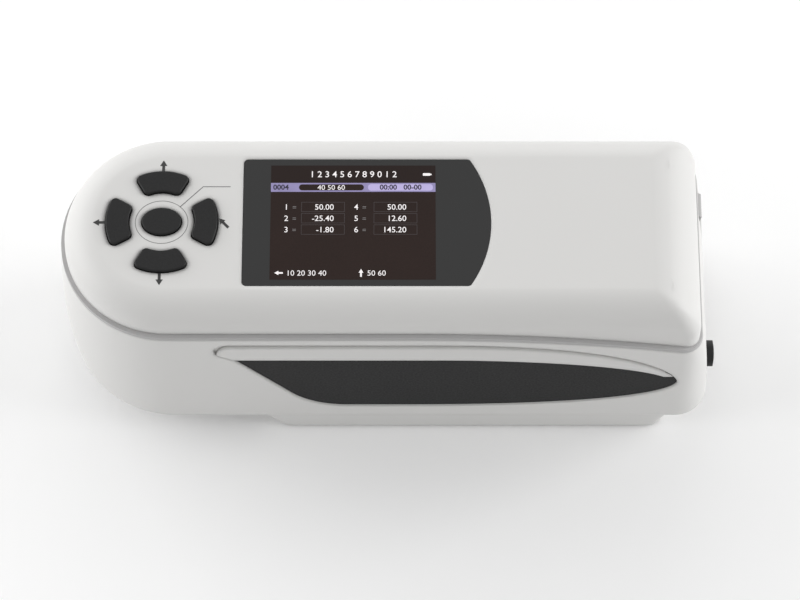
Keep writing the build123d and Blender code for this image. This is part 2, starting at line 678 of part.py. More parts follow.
def lower_shell():
    """The main housing: drafted walls, grip scoops, posts, ribs and the openings of the squared end."""
    outer = housing_block(0, 0, HOUSING_BASE_Z)
    outer = fillet(outer.faces().sort_by(Axis.Z)[0].edges(), BASE_EDGE_R)
    cavity = housing_block(END_WALL, FLANK_WALL, FLOOR_Z)
    posts = []
    for x, y in HOUSING_SCREWS:
        top_z = JOINT_Z + TRIM_H - joint_drop(x)
        posts.append(rod(x, y, FLOOR_Z - 1, top_z, HOUSING_POST_R))
    for sx in (-1, 1):
        for sy in (-1, 1):
            x = OPTIC_X + sx * OPTIC_SCREW_POS
            posts.append(rod(x, sy * OPTIC_SCREW_POS, FLOOR_Z - 1, FRAME_PLATE_Z, BOSS_R))
    for x, y in SHOE_SCREWS:
        posts.append(rod(x, y, FLOOR_Z - 1, FLOOR_Z + SCREW_BITE, BOSS_R))
    for side in (-1, 1):
        edge = side * END_BOARD_HALF_Y
        rib = bar(END_BOARD_X - BOARD_RAIL, END_BOARD_FACE_X + BOARD_RAIL,
                  *sorted((edge - side * BOARD_RAIL, edge + side * BOARD_RAIL)), FLOOR_Z - 1,
                  END_BOARD_TOP_Z - RAIL_HEADROOM)
        slot = bar(END_BOARD_X - HOLE_GAP, END_BOARD_FACE_X + HOLE_GAP, *sorted((0, edge + side * HOLE_GAP)),
                   END_BOARD_BASE_Z - HOLE_GAP, FAR)
        posts.append(rib - slot)
    shell = outer - cavity
    for post in posts:
        shell = shell + post
    shell = shell - above_joint(0)
    for x, y in HOUSING_SCREWS:
        top_z = JOINT_Z - joint_drop(x)
        shell = shell - rod(x, y, 0, top_z - POST_CAP_T, SCREW_HEAD_R + HEAD_GAP)
        shell = shell - rod(x, y, 0, FAR, SCREW_R + HOLE_GAP)
    for sx in (-1, 1):
        for sy in (-1, 1):
            x = OPTIC_X + sx * OPTIC_SCREW_POS
            shell = shell - rod(x, sy * OPTIC_SCREW_POS, FLOOR_Z, FAR, SCREW_R + HOLE_GAP / 2)
    for x, y in SHOE_SCREWS:
        shell = shell - rod(x, y, 0, FLOOR_Z + SCREW_BITE - 1, SCREW_R + HOLE_GAP / 2)
    shell = shell - rod(OPTIC_X, 0, 0, FLOOR_Z + 1, SPHERE_OUTER_R - 1.5)
    for side in (-1, 1):
        shell = shell - flank_cut(scoop_face(), side, SCOOP_DEPTH)
        shell = shell - flank_cut(grip_face(), side, GRIP_SEAT)
        for stud in grip_anchors(side):
            shell = shell - stud
    return shell - measure_hole() - rocker_opening() - socket_opening()


def seam_trim():
    """The grey band in the joint, with a lip that locates the upper cover."""
    ring = (housing_block(0, 0, HOUSING_BASE_Z) & above_joint(0)) - above_joint(TRIM_H)
    lip = upper_block(SIDE_WALL + LIP_GAP, OVERALL_HEIGHT)
    lip = (lip & above_joint(TRIM_H / 2)) - above_joint(TRIM_H + LIP_H)
    trim = (ring + lip) - upper_block(SIDE_WALL + LIP_GAP + LIP_T, OVERALL_HEIGHT)
    for x, y in HOUSING_SCREWS:
        trim = trim - rod(x, y, 0, FAR, HOUSING_POST_R + HOLE_GAP)
    return trim


def hang_post(x, y, base_z):
    """A post that hangs from the ceiling of the upper cover down to base_z."""
    return rod(x, y, base_z, CEILING_Z + TOP_WALL / 2, BOSS_R)


def upper_shell():
    """The top cover with its key openings, window seat and hanging posts."""
    outer = upper_block(0, OVERALL_HEIGHT)
    cavity = upper_block(SIDE_WALL, CEILING_Z)
    shell = outer - cavity
    for x, y in FRONT_BOARD_SCREWS:
        shell = shell + hang_post(x, y, FRONT_BOARD_TOP_Z)
    for x, y in MAIN_BOARD_SCREWS:
        shell = shell + hang_post(x, y, MAIN_BOARD_TOP_Z)
    shell = shell & above_joint(TRIM_H)
    for x, y in HOUSING_SCREWS:
        shell = shell + (rod(x, y, 0, CEILING_Z + TOP_WALL / 2, HOUSING_POST_R) & outer & above_joint(0))
    for x, y in FRONT_BOARD_SCREWS:
        shell = shell - rod(x, y, 0, FRONT_BOARD_TOP_Z + SCREW_BITE, SCREW_R + HOLE_GAP / 2)
    for x, y in MAIN_BOARD_SCREWS:
        shell = shell - rod(x, y, 0, MAIN_BOARD_TOP_Z + SCREW_BITE, SCREW_R + HOLE_GAP / 2)
    for x, y in HOUSING_SCREWS:
        top_z = JOINT_Z + TRIM_H - joint_drop(x)
        shell = shell - rod(x, y, 0, top_z + SCREW_BITE + 1, SCREW_R + HOLE_GAP / 2)
    for name in KEY_NAMES:
        shell = shell - extrude(Pos(0, 0, KEY_BASE_Z) * key_face(name, KEY_GAP), amount=10)
    shell = shell - extrude(Pos(0, 0, WINDOW_SEAT_Z) * window_face(WINDOW_GAP), amount=10)
    opening = screen_rect(SCREEN_GAP, SCREEN_GAP, SCREEN_GAP)
    return shell - extrude(Pos(0, 0, CEILING_Z - 1) * opening, amount=10)


def display_window():
    """The dark window panel, flush with the top face."""
    return extrude(Pos(0, 0, WINDOW_SEAT_Z) * window_face(0), amount=WINDOW_T)


def module_face(grow):
    """Plan of the display module."""
    return screen_rect(MODULE_FRONT_MARGIN + grow, MODULE_REAR_MARGIN + grow, MODULE_SIDE_MARGIN + grow)


def display_gasket():
    """The foam frame between the display module and the ceiling."""
    ring = module_face(0) - screen_rect(SCREEN_GAP, SCREEN_GAP, SCREEN_GAP)
    return extrude(Pos(0, 0, MODULE_TOP_Z) * ring, amount=GASKET_T)


def display_module():
    """The colour screen module."""
    return extrude(Pos(0, 0, MODULE_BASE_Z) * module_face(0), amount=MODULE_T)


def display_frame():
    """The open tray that carries the display module on the front board."""
    rim_top = MODULE_TOP_Z - KEY_GAP
    rim = module_face(FRAME_RIM + HOLE_GAP) - module_face(HOLE_GAP)
    tray = extrude(Pos(0, 0, FRONT_BOARD_TOP_Z) * rim, amount=rim_top - FRONT_BOARD_TOP_Z)
    deck = module_face(FRAME_RIM + HOLE_GAP) - module_face(-FRAME_RIM * 4)
    tray = tray + extrude(Pos(0, 0, FRONT_BOARD_TOP_Z) * deck, amount=MODULE_BASE_Z - FRONT_BOARD_TOP_Z)
    for x, y in FRONT_BOARD_SCREWS:
        tray = tray - rod(x, y, 0, FAR, BOSS_R + KEY_GAP)
    return tray


def front_board():
    """The round-ended board under the keypad and the display."""
    straight = FRONT_BOARD_REAR_X - ROUND_AXIS_X
    plan = Pos(ROUND_AXIS_X + straight / 2, 0) * Rectangle(straight, 2 * FRONT_BOARD_HALF_Y)
    plan = plan + Pos(ROUND_AXIS_X, 0) * Circle(FRONT_BOARD_HALF_Y)
    for x, y in FRONT_BOARD_SCREWS:
        plan = plan - Pos(x, y) * Circle(SCREW_R + HOLE_GAP)
    for x, y in HOUSING_SCREWS:
        plan = plan - Pos(x, y) * Circle(HOUSING_POST_R + POST_GAP)
    return extrude(Pos(0, 0, FRONT_BOARD_TOP_Z - BOARD_T) * plan, amount=BOARD_T)


def main_board():
    """The processor board with its larger components."""
    x0 = MAIN_BOARD_FRONT_X
    x1 = MAIN_BOARD_REAR_X
    base_z = MAIN_BOARD_TOP_Z - BOARD_T
    board = bar(x0, x1, -MAIN_BOARD_HALF_Y, MAIN_BOARD_HALF_Y, base_z, MAIN_BOARD_TOP_Z)
    for x, y in MAIN_BOARD_SCREWS:
        board = board - rod(x, y, 0, FAR, SCREW_R + HOLE_GAP)
    for x, y in HOUSING_SCREWS:
        board = board - rod(x, y, 0, FAR, HOUSING_POST_R + POST_GAP)
    parts = [board]
    for along, y, length, width, height in BOARD_CHIPS:
        x = MAIN_BOARD_MIDDLE_X + along
        chip = bar(x - length / 2, x + length / 2, y - width / 2, y + width / 2, MAIN_BOARD_TOP_Z,
                   MAIN_BOARD_TOP_Z + height)
        parts.append(chip)
    return Compound(children=parts)


def end_board():
    """The upright board behind the squared end."""
    return bar(END_BOARD_X, END_BOARD_FACE_X, -END_BOARD_HALF_Y, END_BOARD_HALF_Y, END_BOARD_BASE_Z, END_BOARD_TOP_Z)


def measure_key():
    """The round measuring key, lightly domed, with a flange behind the wall and a post in its switch."""
    post_x = END_BOARD_FACE_X + MEASURE_SWITCH_T - PLUNGER_REACH
    back_x = MEASURE_FLANGE_X - KEY_FLANGE_T
    edge_x = KEY_FACE_X - MEASURE_DOME
    mid_x = KEY_FACE_X - MEASURE_DOME / 4
    with BuildSketch() as sketch:
        with BuildLine():
            ThreePointArc((KEY_FACE_X, 0), (mid_x, MEASURE_R / 2), (edge_x, MEASURE_R))
            Polyline((edge_x, MEASURE_R), (MEASURE_FLANGE_X, MEASURE_R), (MEASURE_FLANGE_X, MEASURE_FLANGE_R),
                     (back_x, MEASURE_FLANGE_R), (back_x, PLUNGER_R), (post_x, PLUNGER_R), (post_x, 0),
                     (KEY_FACE_X, 0))
        make_face()
    return Pos(0, MEASURE_Y, MEASURE_Z) * revolve(sketch.sketch, axis=Axis.X)


def measure_switch():
    """The switch body behind the measuring key, with a well for the key's post."""
    half = SWITCH_SIDE / 2
    front = END_BOARD_FACE_X + MEASURE_SWITCH_T
    body = bar(END_BOARD_FACE_X, front, MEASURE_Y - half, MEASURE_Y + half, MEASURE_Z - half, MEASURE_Z + half)
    depth = PLUNGER_REACH + MEASURE_TRAVEL + KEY_GAP
    return body - rod_x(front - depth, front + 1, MEASURE_Y, MEASURE_Z, PLUNGER_R + RUN_GAP)


def power_rocker():
    """The rocker: round ends about its pivot and a shallow V face, at rest with its top end out."""
    reach = math.sqrt(ROCKER_R**2 - ROCKER_FACE**2)
    back = (-ROCKER_BACK_X, ROCKER_BACK_Z)
    back_low = (-ROCKER_BACK_X, -ROCKER_BACK_Z)
    with BuildSketch() as sketch:
        with BuildLine():
            ThreePointArc((ROCKER_FACE, reach), (ROCKER_CHEEK_X, ROCKER_CHEEK_Z), back)
            Polyline(back, (-ROCKER_BACK_DEPTH, 0), back_low)
            ThreePointArc(back_low, (ROCKER_CHEEK_X, -ROCKER_CHEEK_Z), (ROCKER_FACE, -reach))
            Polyline((ROCKER_FACE, -reach), (ROCKER_FACE - ROCKER_DISH, 0), (ROCKER_FACE, reach))
        make_face()
    body = extrude(Plane.XZ * sketch.sketch, amount=ROCKER_HALF_Y, both=True)
    pin = Rot(90, 0, 0) * Cylinder(ROCKER_PIN_R, 2 * (ROCKER_HALF_Y + ROCKER_EAR_T))
    rocker = Rot(0, ROCKER_THROW / 2 - ROCKER_LEAN, 0) * (body + pin)
    return Pos(ROCKER_PIVOT_X, ROCKER_Y, ROCKER_Z) * rocker


def rocker_switch():
    """The switch body on the end board, with two ears that carry the rocker's pin."""
    half_y = ROCKER_HALF_Y + ROCKER_GAP
    body = bar(END_BOARD_FACE_X, ROCKER_PIVOT_X - ROCKER_BASE_GAP, ROCKER_Y - half_y - ROCKER_EAR_T,
               ROCKER_Y + half_y + ROCKER_EAR_T, ROCKER_Z - ROCKER_BASE_HALF_Z, ROCKER_Z + ROCKER_BASE_HALF_Z)
    for side in (-1, 1):
        y0, y1 = sorted((ROCKER_Y + side * half_y, ROCKER_Y + side * (half_y + ROCKER_EAR_T)))
        body = body + bar(END_BOARD_FACE_X, ROCKER_PIVOT_X + ROCKER_EAR_REACH, y0, y1,
                          ROCKER_Z - ROCKER_EAR_HALF_Z, ROCKER_Z + ROCKER_EAR_HALF_Z)
    bore = Rot(90, 0, 0) * Cylinder(ROCKER_PIN_R + RUN_GAP, FAR)
    return body - Pos(ROCKER_PIVOT_X, ROCKER_Y, ROCKER_Z) * bore


def usb_socket():
    """The data and charging socket: a rounded metal shell with a tongue."""
    plane = Plane.YZ.offset(END_BOARD_FACE_X)
    front = REAR_BASE_X - REAR_LEAN_MID - END_WALL
    length = front - END_BOARD_FACE_X
    shell = extrude(plane * Pos(SOCKET_Y, SOCKET_Z) * socket_face(0), amount=length)
    mouth_plane = Plane.YZ.offset(END_BOARD_FACE_X + SOCKET_BACK_T)
    mouth = extrude(mouth_plane * Pos(SOCKET_Y, SOCKET_Z) * socket_face(-SOCKET_SHELL), amount=length)
    half_y = SOCKET_WIDTH / 2 - TONGUE_MARGIN
    tongue = bar(END_BOARD_FACE_X, front - TONGUE_T, SOCKET_Y - half_y, SOCKET_Y + half_y,
                 SOCKET_Z - TONGUE_T / 2, SOCKET_Z + TONGUE_T / 2)
    return shell - mouth + tongue


def battery_cell():
    """The rechargeable cell, lying along the housing."""
    cell = rod_x(CELL_FRONT_X, CELL_REAR_X, 0, CELL_AXIS_Z, CELL_R)
    return fillet(cell.edges().filter_by(GeomType.CIRCLE), CELL_EDGE_R)


def battery_cradle():
    """The trough that holds the cell, with an end plate and a contact slot at each end."""
    x0 = CELL_FRONT_X - CONTACT_T - CRADLE_GAP - END_PLATE_T
    x1 = CELL_REAR_X + CONTACT_T + CRADLE_GAP + END_PLATE_T
    body = bar(x0, x1, -CRADLE_HALF, CRADLE_HALF, FLOOR_Z, CELL_AXIS_Z)
    body = body - rod_x(x0 + END_PLATE_T, x1 - END_PLATE_T, 0, CELL_AXIS_Z, CELL_R + CRADLE_GAP)
    for x, y in SHOE_SCREWS:
        body = body - rod(x, y, 0, FAR, BOSS_R + KEY_GAP)
    return body


def battery_contacts():
    """A sprung contact plate at each end of the cell."""
    plates = []
    for x in (CELL_FRONT_X - CONTACT_T - CRADLE_GAP / 2, CELL_REAR_X + CRADLE_GAP / 2):
        plate = rod_x(x, x + CONTACT_T, 0, CELL_AXIS_Z, CELL_R * 0.6)
        plates.append(plate)
    return Compound(children=plates)


def optics_frame():
    """The plate that carries the sphere on the housing's posts."""
    plate = extrude(RectangleRounded(2 * FRAME_PLATE_HALF, 2 * FRAME_PLATE_HALF, 4.0), amount=FRAME_PLATE_T)
    plate = Pos(OPTIC_X, 0, FRAME_PLATE_Z) * plate
    plate = plate - rod(OPTIC_X, 0, 0, FAR, SPHERE_OUTER_R + NOSE_GAP)
    return drill_optics(plate)


def drill_optics(body):
    """Cut the four optics screw holes."""
    for sx in (-1, 1):
        for sy in (-1, 1):
            x = OPTIC_X + sx * OPTIC_SCREW_POS
            body = body - rod(x, sy * OPTIC_SCREW_POS, 0, FAR, SCREW_R + HOLE_GAP)
    return body


def sphere_lower():
    """The lower half of the integrating sphere, with its flange and the sample port."""
    half = Pos(OPTIC_X, 0, SPHERE_Z) * Sphere(SPHERE_OUTER_R)
    flange = Pos(OPTIC_X, 0, SPHERE_Z - FLANGE_T / 2) * extrude(
        RectangleRounded(2 * FLANGE_HALF, 2 * FLANGE_HALF, 3.0), amount=FLANGE_T / 2, both=True)
    half = (half & bar(-FAR, FAR, -FAR, FAR, NOSE_TOP_Z, SPHERE_Z)) + flange
    half = half - Pos(OPTIC_X, 0, SPHERE_Z) * Sphere(SPHERE_R)
    half = half - rod(OPTIC_X, 0, 0, SPHERE_Z - SPHERE_R + 1, NOSE_FLARE_R)
    return drill_optics(half)


def view_axis_part(start, end, radius):
    """A cylinder along the tilted viewing axis, between two distances above the sample plane."""
    tool = Pos(0, 0, (start + end) / 2) * Cylinder(radius, end - start)
    return Pos(OPTIC_X, 0, NOSE_BASE_Z) * Rot(0, VIEW_TILT, 0) * tool


def lamp_part(side, start, end, radius):
    """A cylinder along one lamp's axis, between two distances from the sphere's centre."""
    tool = Pos(0, 0, (start + end) / 2) * Cylinder(radius, end - start)
    return Pos(OPTIC_X, 0, SPHERE_Z) * Rot(side * LAMP_TILT, 0, 0) * tool


def sphere_upper():
    """The upper half of the integrating sphere, with the receiver's collar and two lamp sleeves."""
    dome = Pos(OPTIC_X, 0, SPHERE_Z) * Sphere(SPHERE_OUTER_R)
    flange = Pos(OPTIC_X, 0, SPHERE_Z + FLANGE_T / 2) * extrude(
        RectangleRounded(2 * FLANGE_HALF, 2 * FLANGE_HALF, 3.0), amount=FLANGE_T / 2, both=True)
    dome = (dome & bar(-FAR, FAR, -FAR, FAR, SPHERE_Z, FAR)) + flange
    dome = dome + view_axis_part(BARREL_START, COLLAR_END, BARREL_R + COLLAR_WALL)
    for side in (-1, 1):
        dome = dome + lamp_part(side, SPHERE_R, LAMP_REACH - 2, LAMP_SLEEVE_R + 1)
    dome = dome - Pos(OPTIC_X, 0, SPHERE_Z) * Sphere(SPHERE_R)
    dome = dome - view_axis_part(BARREL_START - 10, COLLAR_END + 1, BARREL_R + RUN_GAP)
    for side in (-1, 1):
        dome = dome - lamp_part(side, SPHERE_R - 4, LAMP_REACH + 1, LAMP_R + RUN_GAP)
    return drill_optics(dome)


def receiver_barrel():
    """The tilted tube that carries the receiver's lens."""
    tube = view_axis_part(BARREL_START + 2, BARREL_END, BARREL_R)
    tube = tube + view_axis_part(COLLAR_END, COLLAR_END + COLLAR_T, BARREL_R + COLLAR_WALL)
    tube = tube - view_axis_part(BARREL_START, LENS_SEAT, BARREL_R - BARREL_WALL - LENS_SEAT_W)
    return tube - view_axis_part(LENS_SEAT, BARREL_END + 1, BARREL_R - BARREL_WALL)


def receiver_lens():
    """A plano-convex lens on the barrel's seat."""
    radius = BARREL_R - BARREL_WALL - RUN_GAP
    blank = Pos(0, 0, LENS_T / 2) * Cylinder(radius, LENS_T)
    curve_r = radius * 2
    blank = blank & Pos(0, 0, LENS_T - curve_r) * Sphere(curve_r)
    return Pos(OPTIC_X, 0, NOSE_BASE_Z) * Rot(0, VIEW_TILT, 0) * Pos(0, 0, LENS_SEAT) * blank


def sensor_board():
    """The receiver's board on top of the barrel, with its sensor underneath."""
    board = Box(2 * SENSOR_HALF, 2 * SENSOR_HALF, BOARD_T)
    board = Pos(0, 0, BARREL_END + BOARD_T / 2) * board
    chip = Pos(0, 0, BARREL_END - SENSOR_CHIP_T / 2) * Box(SENSOR_CHIP, SENSOR_CHIP, SENSOR_CHIP_T)
    parts = []
    for piece in (board, chip):
        parts.append(Pos(OPTIC_X, 0, NOSE_BASE_Z) * Rot(0, VIEW_TILT, 0) * piece)
    return Compound(children=parts)


def lamps():
    """The two lamps in the sphere's sleeves."""
    parts = []
    for side in (-1, 1):
        lamp = lamp_part(side, SPHERE_R + 1, LAMP_REACH - 2, LAMP_R)
        parts.append(lamp + lamp_part(side, LAMP_REACH - 2, LAMP_REACH - 1, LAMP_SLEEVE_R))
    return Compound(children=parts)


def aperture_nose():
    """The ring that meets the sample, flared towards the sphere."""
    body = rod(OPTIC_X, 0, NOSE_BASE_Z, NOSE_TOP_Z, NOSE_R)
    body = chamfer(body.faces().sort_by(Axis.Z)[0].edges(), 0.4)
    lip_z = NOSE_BASE_Z + APERTURE_LIP
    body = body - rod(OPTIC_X, 0, 0, lip_z + 0.01, APERTURE_R)
    flare = Pos(OPTIC_X, 0, (lip_z + NOSE_TOP_Z) / 2) * Cone(APERTURE_R, NOSE_FLARE_R, NOSE_TOP_Z - lip_z)
    return body - flare


def shoe_block(inset, base_z):
    """The shoe's tapered form, drawn in by an inset."""
    sections = []
    for z, x0, x1, half in (
        (SHOE_BASE_Z, SHOE_FRONT_BASE_X, SHOE_REAR_BASE_X, SHOE_HALF_Y - SHOE_TAPER_Y),
        (HOUSING_BASE_Z, SHOE_FRONT_TOP_X, SHOE_REAR_TOP_X, SHOE_HALF_Y),
    ):
        plan = RectangleRounded(x1 - x0 - 2 * inset, 2 * (half - inset), max(SHOE_CORNER_R - inset, 1.0))
        sections.append(Pos((x0 + x1) / 2, 0, z) * plan)
    block = loft(sections, ruled=True)
    return block & bar(-FAR, FAR, -FAR, FAR, base_z, FAR)


def foot_places():
    """Centres of the four feet."""
    return [(x, side * FOOT_Y) for x in FOOT_STATIONS_X for side in (-1, 1)]


def foot_plan(grow):
    """Plan of one foot."""
    return SlotOverall(FOOT_LENGTH + 2 * grow, FOOT_WIDTH + 2 * grow)


def base_shoe():
    """The base shoe: a tray with screw posts, ribs, foot seats and the hole of the aperture ring."""
    shoe = shoe_block(0, 0) - shoe_block(SHOE_WALL, SHOE_BASE_Z + SHOE_WALL)
    for x, y in SHOE_SCREWS:
        shoe = shoe + rod(x, y, SHOE_BASE_Z, HOUSING_BASE_Z, HOUSING_POST_R)
    rib_x0 = OPTIC_X + SPHERE_OUTER_R + SHOE_RIB_GAP
    for y in (-SHOE_RIB_Y, SHOE_RIB_Y):
        shoe = shoe + bar(rib_x0, SHOE_REAR_BASE_X - SHOE_WALL, y - SHOE_RIB_T / 2, y + SHOE_RIB_T / 2,
                          SHOE_BASE_Z + SHOE_WALL / 2, HOUSING_BASE_Z - SHOE_WALL)
    for x, y in SHOE_SCREWS:
        shoe = shoe - rod(x, y, 0, HOUSING_BASE_Z - POST_CAP_T, SCREW_HEAD_R + HEAD_GAP)
        shoe = shoe - rod(x, y, 0, FAR, SCREW_R + HOLE_GAP)
    for x, y in foot_places():
        shoe = shoe - extrude(Pos(x, y, 0) * foot_plan(HOLE_GAP), amount=SHOE_BASE_Z + FOOT_SEAT)
    return shoe - rod(OPTIC_X, 0, 0, SHOE_BASE_Z + SHOE_WALL + 1, NOSE_R + NOSE_GAP)


def rubber_feet():
    """The four pads, each seated in the shoe."""
    feet = []
    for x, y in foot_places():
        feet.append(extrude(Pos(x, y, 0) * foot_plan(0), amount=SHOE_BASE_Z + FOOT_SEAT))
    return Compound(children=feet)


def housing_screws():
    """The screws that hold the two covers together."""
    screws = []
    for x, y in HOUSING_SCREWS:
        head_z = JOINT_Z - joint_drop(x) - POST_CAP_T
        screws.append(screw(x, y, head_z, POST_CAP_T + TRIM_H + SCREW_BITE))
    return Compound(children=screws)


def shoe_screws():
    """The screws that hold the shoe."""
    length = POST_CAP_T + FLOOR_WALL + SCREW_BITE - 1 - SCREW_TIP_GAP
    return Compound(children=[screw(x, y, HOUSING_BASE_Z - POST_CAP_T, length) for x, y in SHOE_SCREWS])


def board_screws():
    """The screws of the front and main boards."""
    screws = []
    for x, y in FRONT_BOARD_SCREWS:
        screws.append(screw(x, y, FRONT_BOARD_TOP_Z - BOARD_T, BOARD_T + SCREW_BITE - SCREW_TIP_GAP))
    for x, y in MAIN_BOARD_SCREWS:
        screws.append(screw(x, y, MAIN_BOARD_TOP_Z - BOARD_T, BOARD_T + SCREW_BITE - SCREW_TIP_GAP))
    return Compound(children=screws)


def optics_screws():
    """The screws through the sphere's flanges and the frame into the housing's posts."""
    top_z = SPHERE_Z + FLANGE_T
    length = 2 * FLANGE_T + FRAME_PLATE_T + SCREW_BITE - SCREW_TIP_GAP
    screws = []
    for sx in (-1, 1):
        for sy in (-1, 1):
            upright = screw(0, 0, 0, length)
            screws.append(Pos(OPTIC_X + sx * OPTIC_SCREW_POS, sy * OPTIC_SCREW_POS, top_z) * Rot(180, 0, 0) * upright)
    return Compound(children=screws)


def all_parts():
    """Every named piece."""
    parts = {
        "upper_shell": upper_shell(),
        "lower_shell": lower_shell(),
        "seam_trim": seam_trim(),
        "display_window": display_window(),
        "display_gasket": display_gasket(),
        "display_module": display_module(),
        "display_frame": display_frame(),
        "front_board": front_board(),
        "key_switches": key_switches(),
        "main_board": main_board(),
        "end_board": end_board(),
        "measure_key": measure_key(),
        "measure_switch": measure_switch(),
        "power_rocker": power_rocker(),
        "rocker_switch": rocker_switch(),
        "usb_socket": usb_socket(),
        "battery_cell": battery_cell(),
        "battery_cradle": battery_cradle(),
        "battery_contacts": battery_contacts(),
        "optics_frame": optics_frame(),
        "sphere_lower": sphere_lower(),
        "sphere_upper": sphere_upper(),
        "receiver_barrel": receiver_barrel(),
        "receiver_lens": receiver_lens(),
        "sensor_board": sensor_board(),
        "lamps": lamps(),
        "aperture_nose": aperture_nose(),
        "base_shoe": base_shoe(),
        "rubber_feet": rubber_feet(),
        "near_grip": grip(-1),
        "far_grip": grip(1),
        "housing_screws": housing_screws(),
        "shoe_screws": shoe_screws(),
        "board_screws": board_screws(),
        "optics_screws": optics_screws(),
    }
    for name in KEY_NAMES:
        parts[name] = key_cap(name)
    return parts


os.makedirs("parts", exist_ok=True)
for node, shape in all_parts().items():
    export_step(shape, f"parts/{node}.step")
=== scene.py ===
"""Dresses a hand-held colorimeter: finishes, prints, screen picture, flank fields, light and camera."""

import logging
import math
from dataclasses import dataclass, field
from enum import Enum

import bpy
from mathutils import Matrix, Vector


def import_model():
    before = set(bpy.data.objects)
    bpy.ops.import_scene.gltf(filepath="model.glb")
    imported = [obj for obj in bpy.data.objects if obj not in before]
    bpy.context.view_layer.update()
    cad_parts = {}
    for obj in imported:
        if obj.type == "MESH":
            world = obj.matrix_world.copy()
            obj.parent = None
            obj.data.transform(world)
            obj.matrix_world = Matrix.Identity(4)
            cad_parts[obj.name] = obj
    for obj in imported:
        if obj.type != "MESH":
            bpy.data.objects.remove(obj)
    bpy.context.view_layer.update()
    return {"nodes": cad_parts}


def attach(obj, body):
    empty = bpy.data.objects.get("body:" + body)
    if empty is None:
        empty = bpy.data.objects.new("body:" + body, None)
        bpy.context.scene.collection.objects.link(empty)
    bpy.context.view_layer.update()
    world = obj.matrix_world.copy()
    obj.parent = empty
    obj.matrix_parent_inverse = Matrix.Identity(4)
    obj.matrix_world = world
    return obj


LOG = logging.getLogger("colorimeter")
MM = 0.001
HOUSING = "housing"
COVER_TOP = 83.1 * MM

# A colour mix node has sockets of one name for each kind of value, so they go by number.
MIX_FACTOR = 0
MIX_FIRST = 6
MIX_SECOND = 7
MIX_COLOUR = 2

Colour = tuple[float, float, float, float]
Point = tuple[float, float]
Box = tuple[float, float, float, float]


class Heading(Enum):
    """The way a screen arrow points, in degrees from +X."""

    UP = 90.0
    LEFT = 180.0


class Lay(Enum):
    """How a line of figures is placed against its point."""

    LEFT = "LEFT"
    CENTRE = "CENTER"
    RIGHT = "RIGHT"


def rgb(red: float, green: float, blue: float) -> Colour:
    """Return an opaque linear colour.

    Args:
        red: Linear red.
        green: Linear green.
        blue: Linear blue.

    Returns:
        The colour with full alpha.
    """
    return (red, green, blue, 1.0)


def grey(level: float) -> Colour:
    """Return an opaque linear grey."""
    return rgb(level, level, level)


def clear_selection() -> None:
    """Leave nothing selected."""
    if bpy.context.object and bpy.context.object.mode != "OBJECT":
        bpy.ops.object.mode_set(mode="OBJECT")
    bpy.ops.object.select_all(action="DESELECT")


def pick(piece: bpy.types.Object) -> None:
    """Select one piece alone and make it active.

    Args:
        piece: The piece to work on.
    """
    clear_selection()
    piece.select_set(True)
    bpy.context.view_layer.objects.active = piece


def settle(piece: bpy.types.Object) -> None:
    """Apply a piece's place, turn and scale to its mesh.

    Args:
        piece: The piece to settle.
    """
    pick(piece)
    bpy.ops.object.transform_apply(location=True, rotation=True, scale=True)


def join(pieces: list[bpy.types.Object], name: str) -> bpy.types.Object:
    """Join settled meshes into one piece.

    Args:
        pieces: The meshes to join.
        name: The joined piece's name.

    Returns:
        The joined piece.
    """
    clear_selection()
    for piece in pieces:
        piece.select_set(True)
    bpy.context.view_layer.objects.active = pieces[0]
    bpy.ops.object.join()
    joined = bpy.context.object
    joined.name = name
    return joined


def flat_plate(name: str, box: Box, height: float) -> bpy.types.Object:
    """Lay a flat rectangle.

    Args:
        name: The piece's name.
        box: Low x, high x, low y and high y in metres.
        height: Its height in metres.

    Returns:
        The rectangle.
    """
    low_x, high_x, low_y, high_y = box
    clear_selection()
    middle = ((low_x + high_x) / 2, (low_y + high_y) / 2, height)
    bpy.ops.mesh.primitive_plane_add(size=1.0, location=middle)
    piece = bpy.context.object
    piece.name = name
    piece.scale = (high_x - low_x, high_y - low_y, 1.0)
    settle(piece)
    return piece


def flat_strip(start: Point, end: Point, width: float, height: float) -> bpy.types.Object:
    """Lay a flat straight strip between two points.

    Args:
        start: First point in metres.
        end: Second point in metres.
        width: The strip's width in metres.
        height: Its height in metres.

    Returns:
        The strip.
    """
    run = Vector((end[0] - start[0], end[1] - start[1]))
    clear_selection()
    middle = ((start[0] + end[0]) / 2, (start[1] + end[1]) / 2, height)
    bpy.ops.mesh.primitive_plane_add(size=1.0, location=middle)
    piece = bpy.context.object
    piece.scale = (run.length, width, 1.0)
    piece.rotation_euler = (0.0, 0.0, math.atan2(run.y, run.x))
    settle(piece)
    return piece


def hollow(piece: bpy.types.Object, line: float) -> None:
    """Leave only a line along the edge of a flat piece.

    Args:
        piece: The flat piece.
        line: The line's width in metres.
    """
    pick(piece)
    bpy.ops.object.mode_set(mode="EDIT")
    bpy.ops.mesh.select_mode(type="FACE")
    bpy.ops.mesh.select_all(action="SELECT")
    bpy.ops.mesh.inset(thickness=line)
    bpy.ops.mesh.delete(type="FACE")
    bpy.ops.object.mode_set(mode="OBJECT")


def thicken(piece: bpy.types.Object, depth: float) -> None:
    """Give a flat piece a thickness upwards.

    Args:
        piece: The flat piece.
        depth: Thickness in metres.
    """
    pick(piece)
    solid = piece.modifiers.new("thickness", "SOLIDIFY")
    solid.thickness = depth
    solid.offset = 1.0
    bpy.ops.object.modifier_apply(modifier=solid.name)


def dress(piece: bpy.types.Object, finish: bpy.types.Material) -> None:
    """Give a piece one material.

    Args:
        piece: The mesh piece.
        finish: The material.
    """
    piece.data.materials.clear()
    piece.data.materials.append(finish)


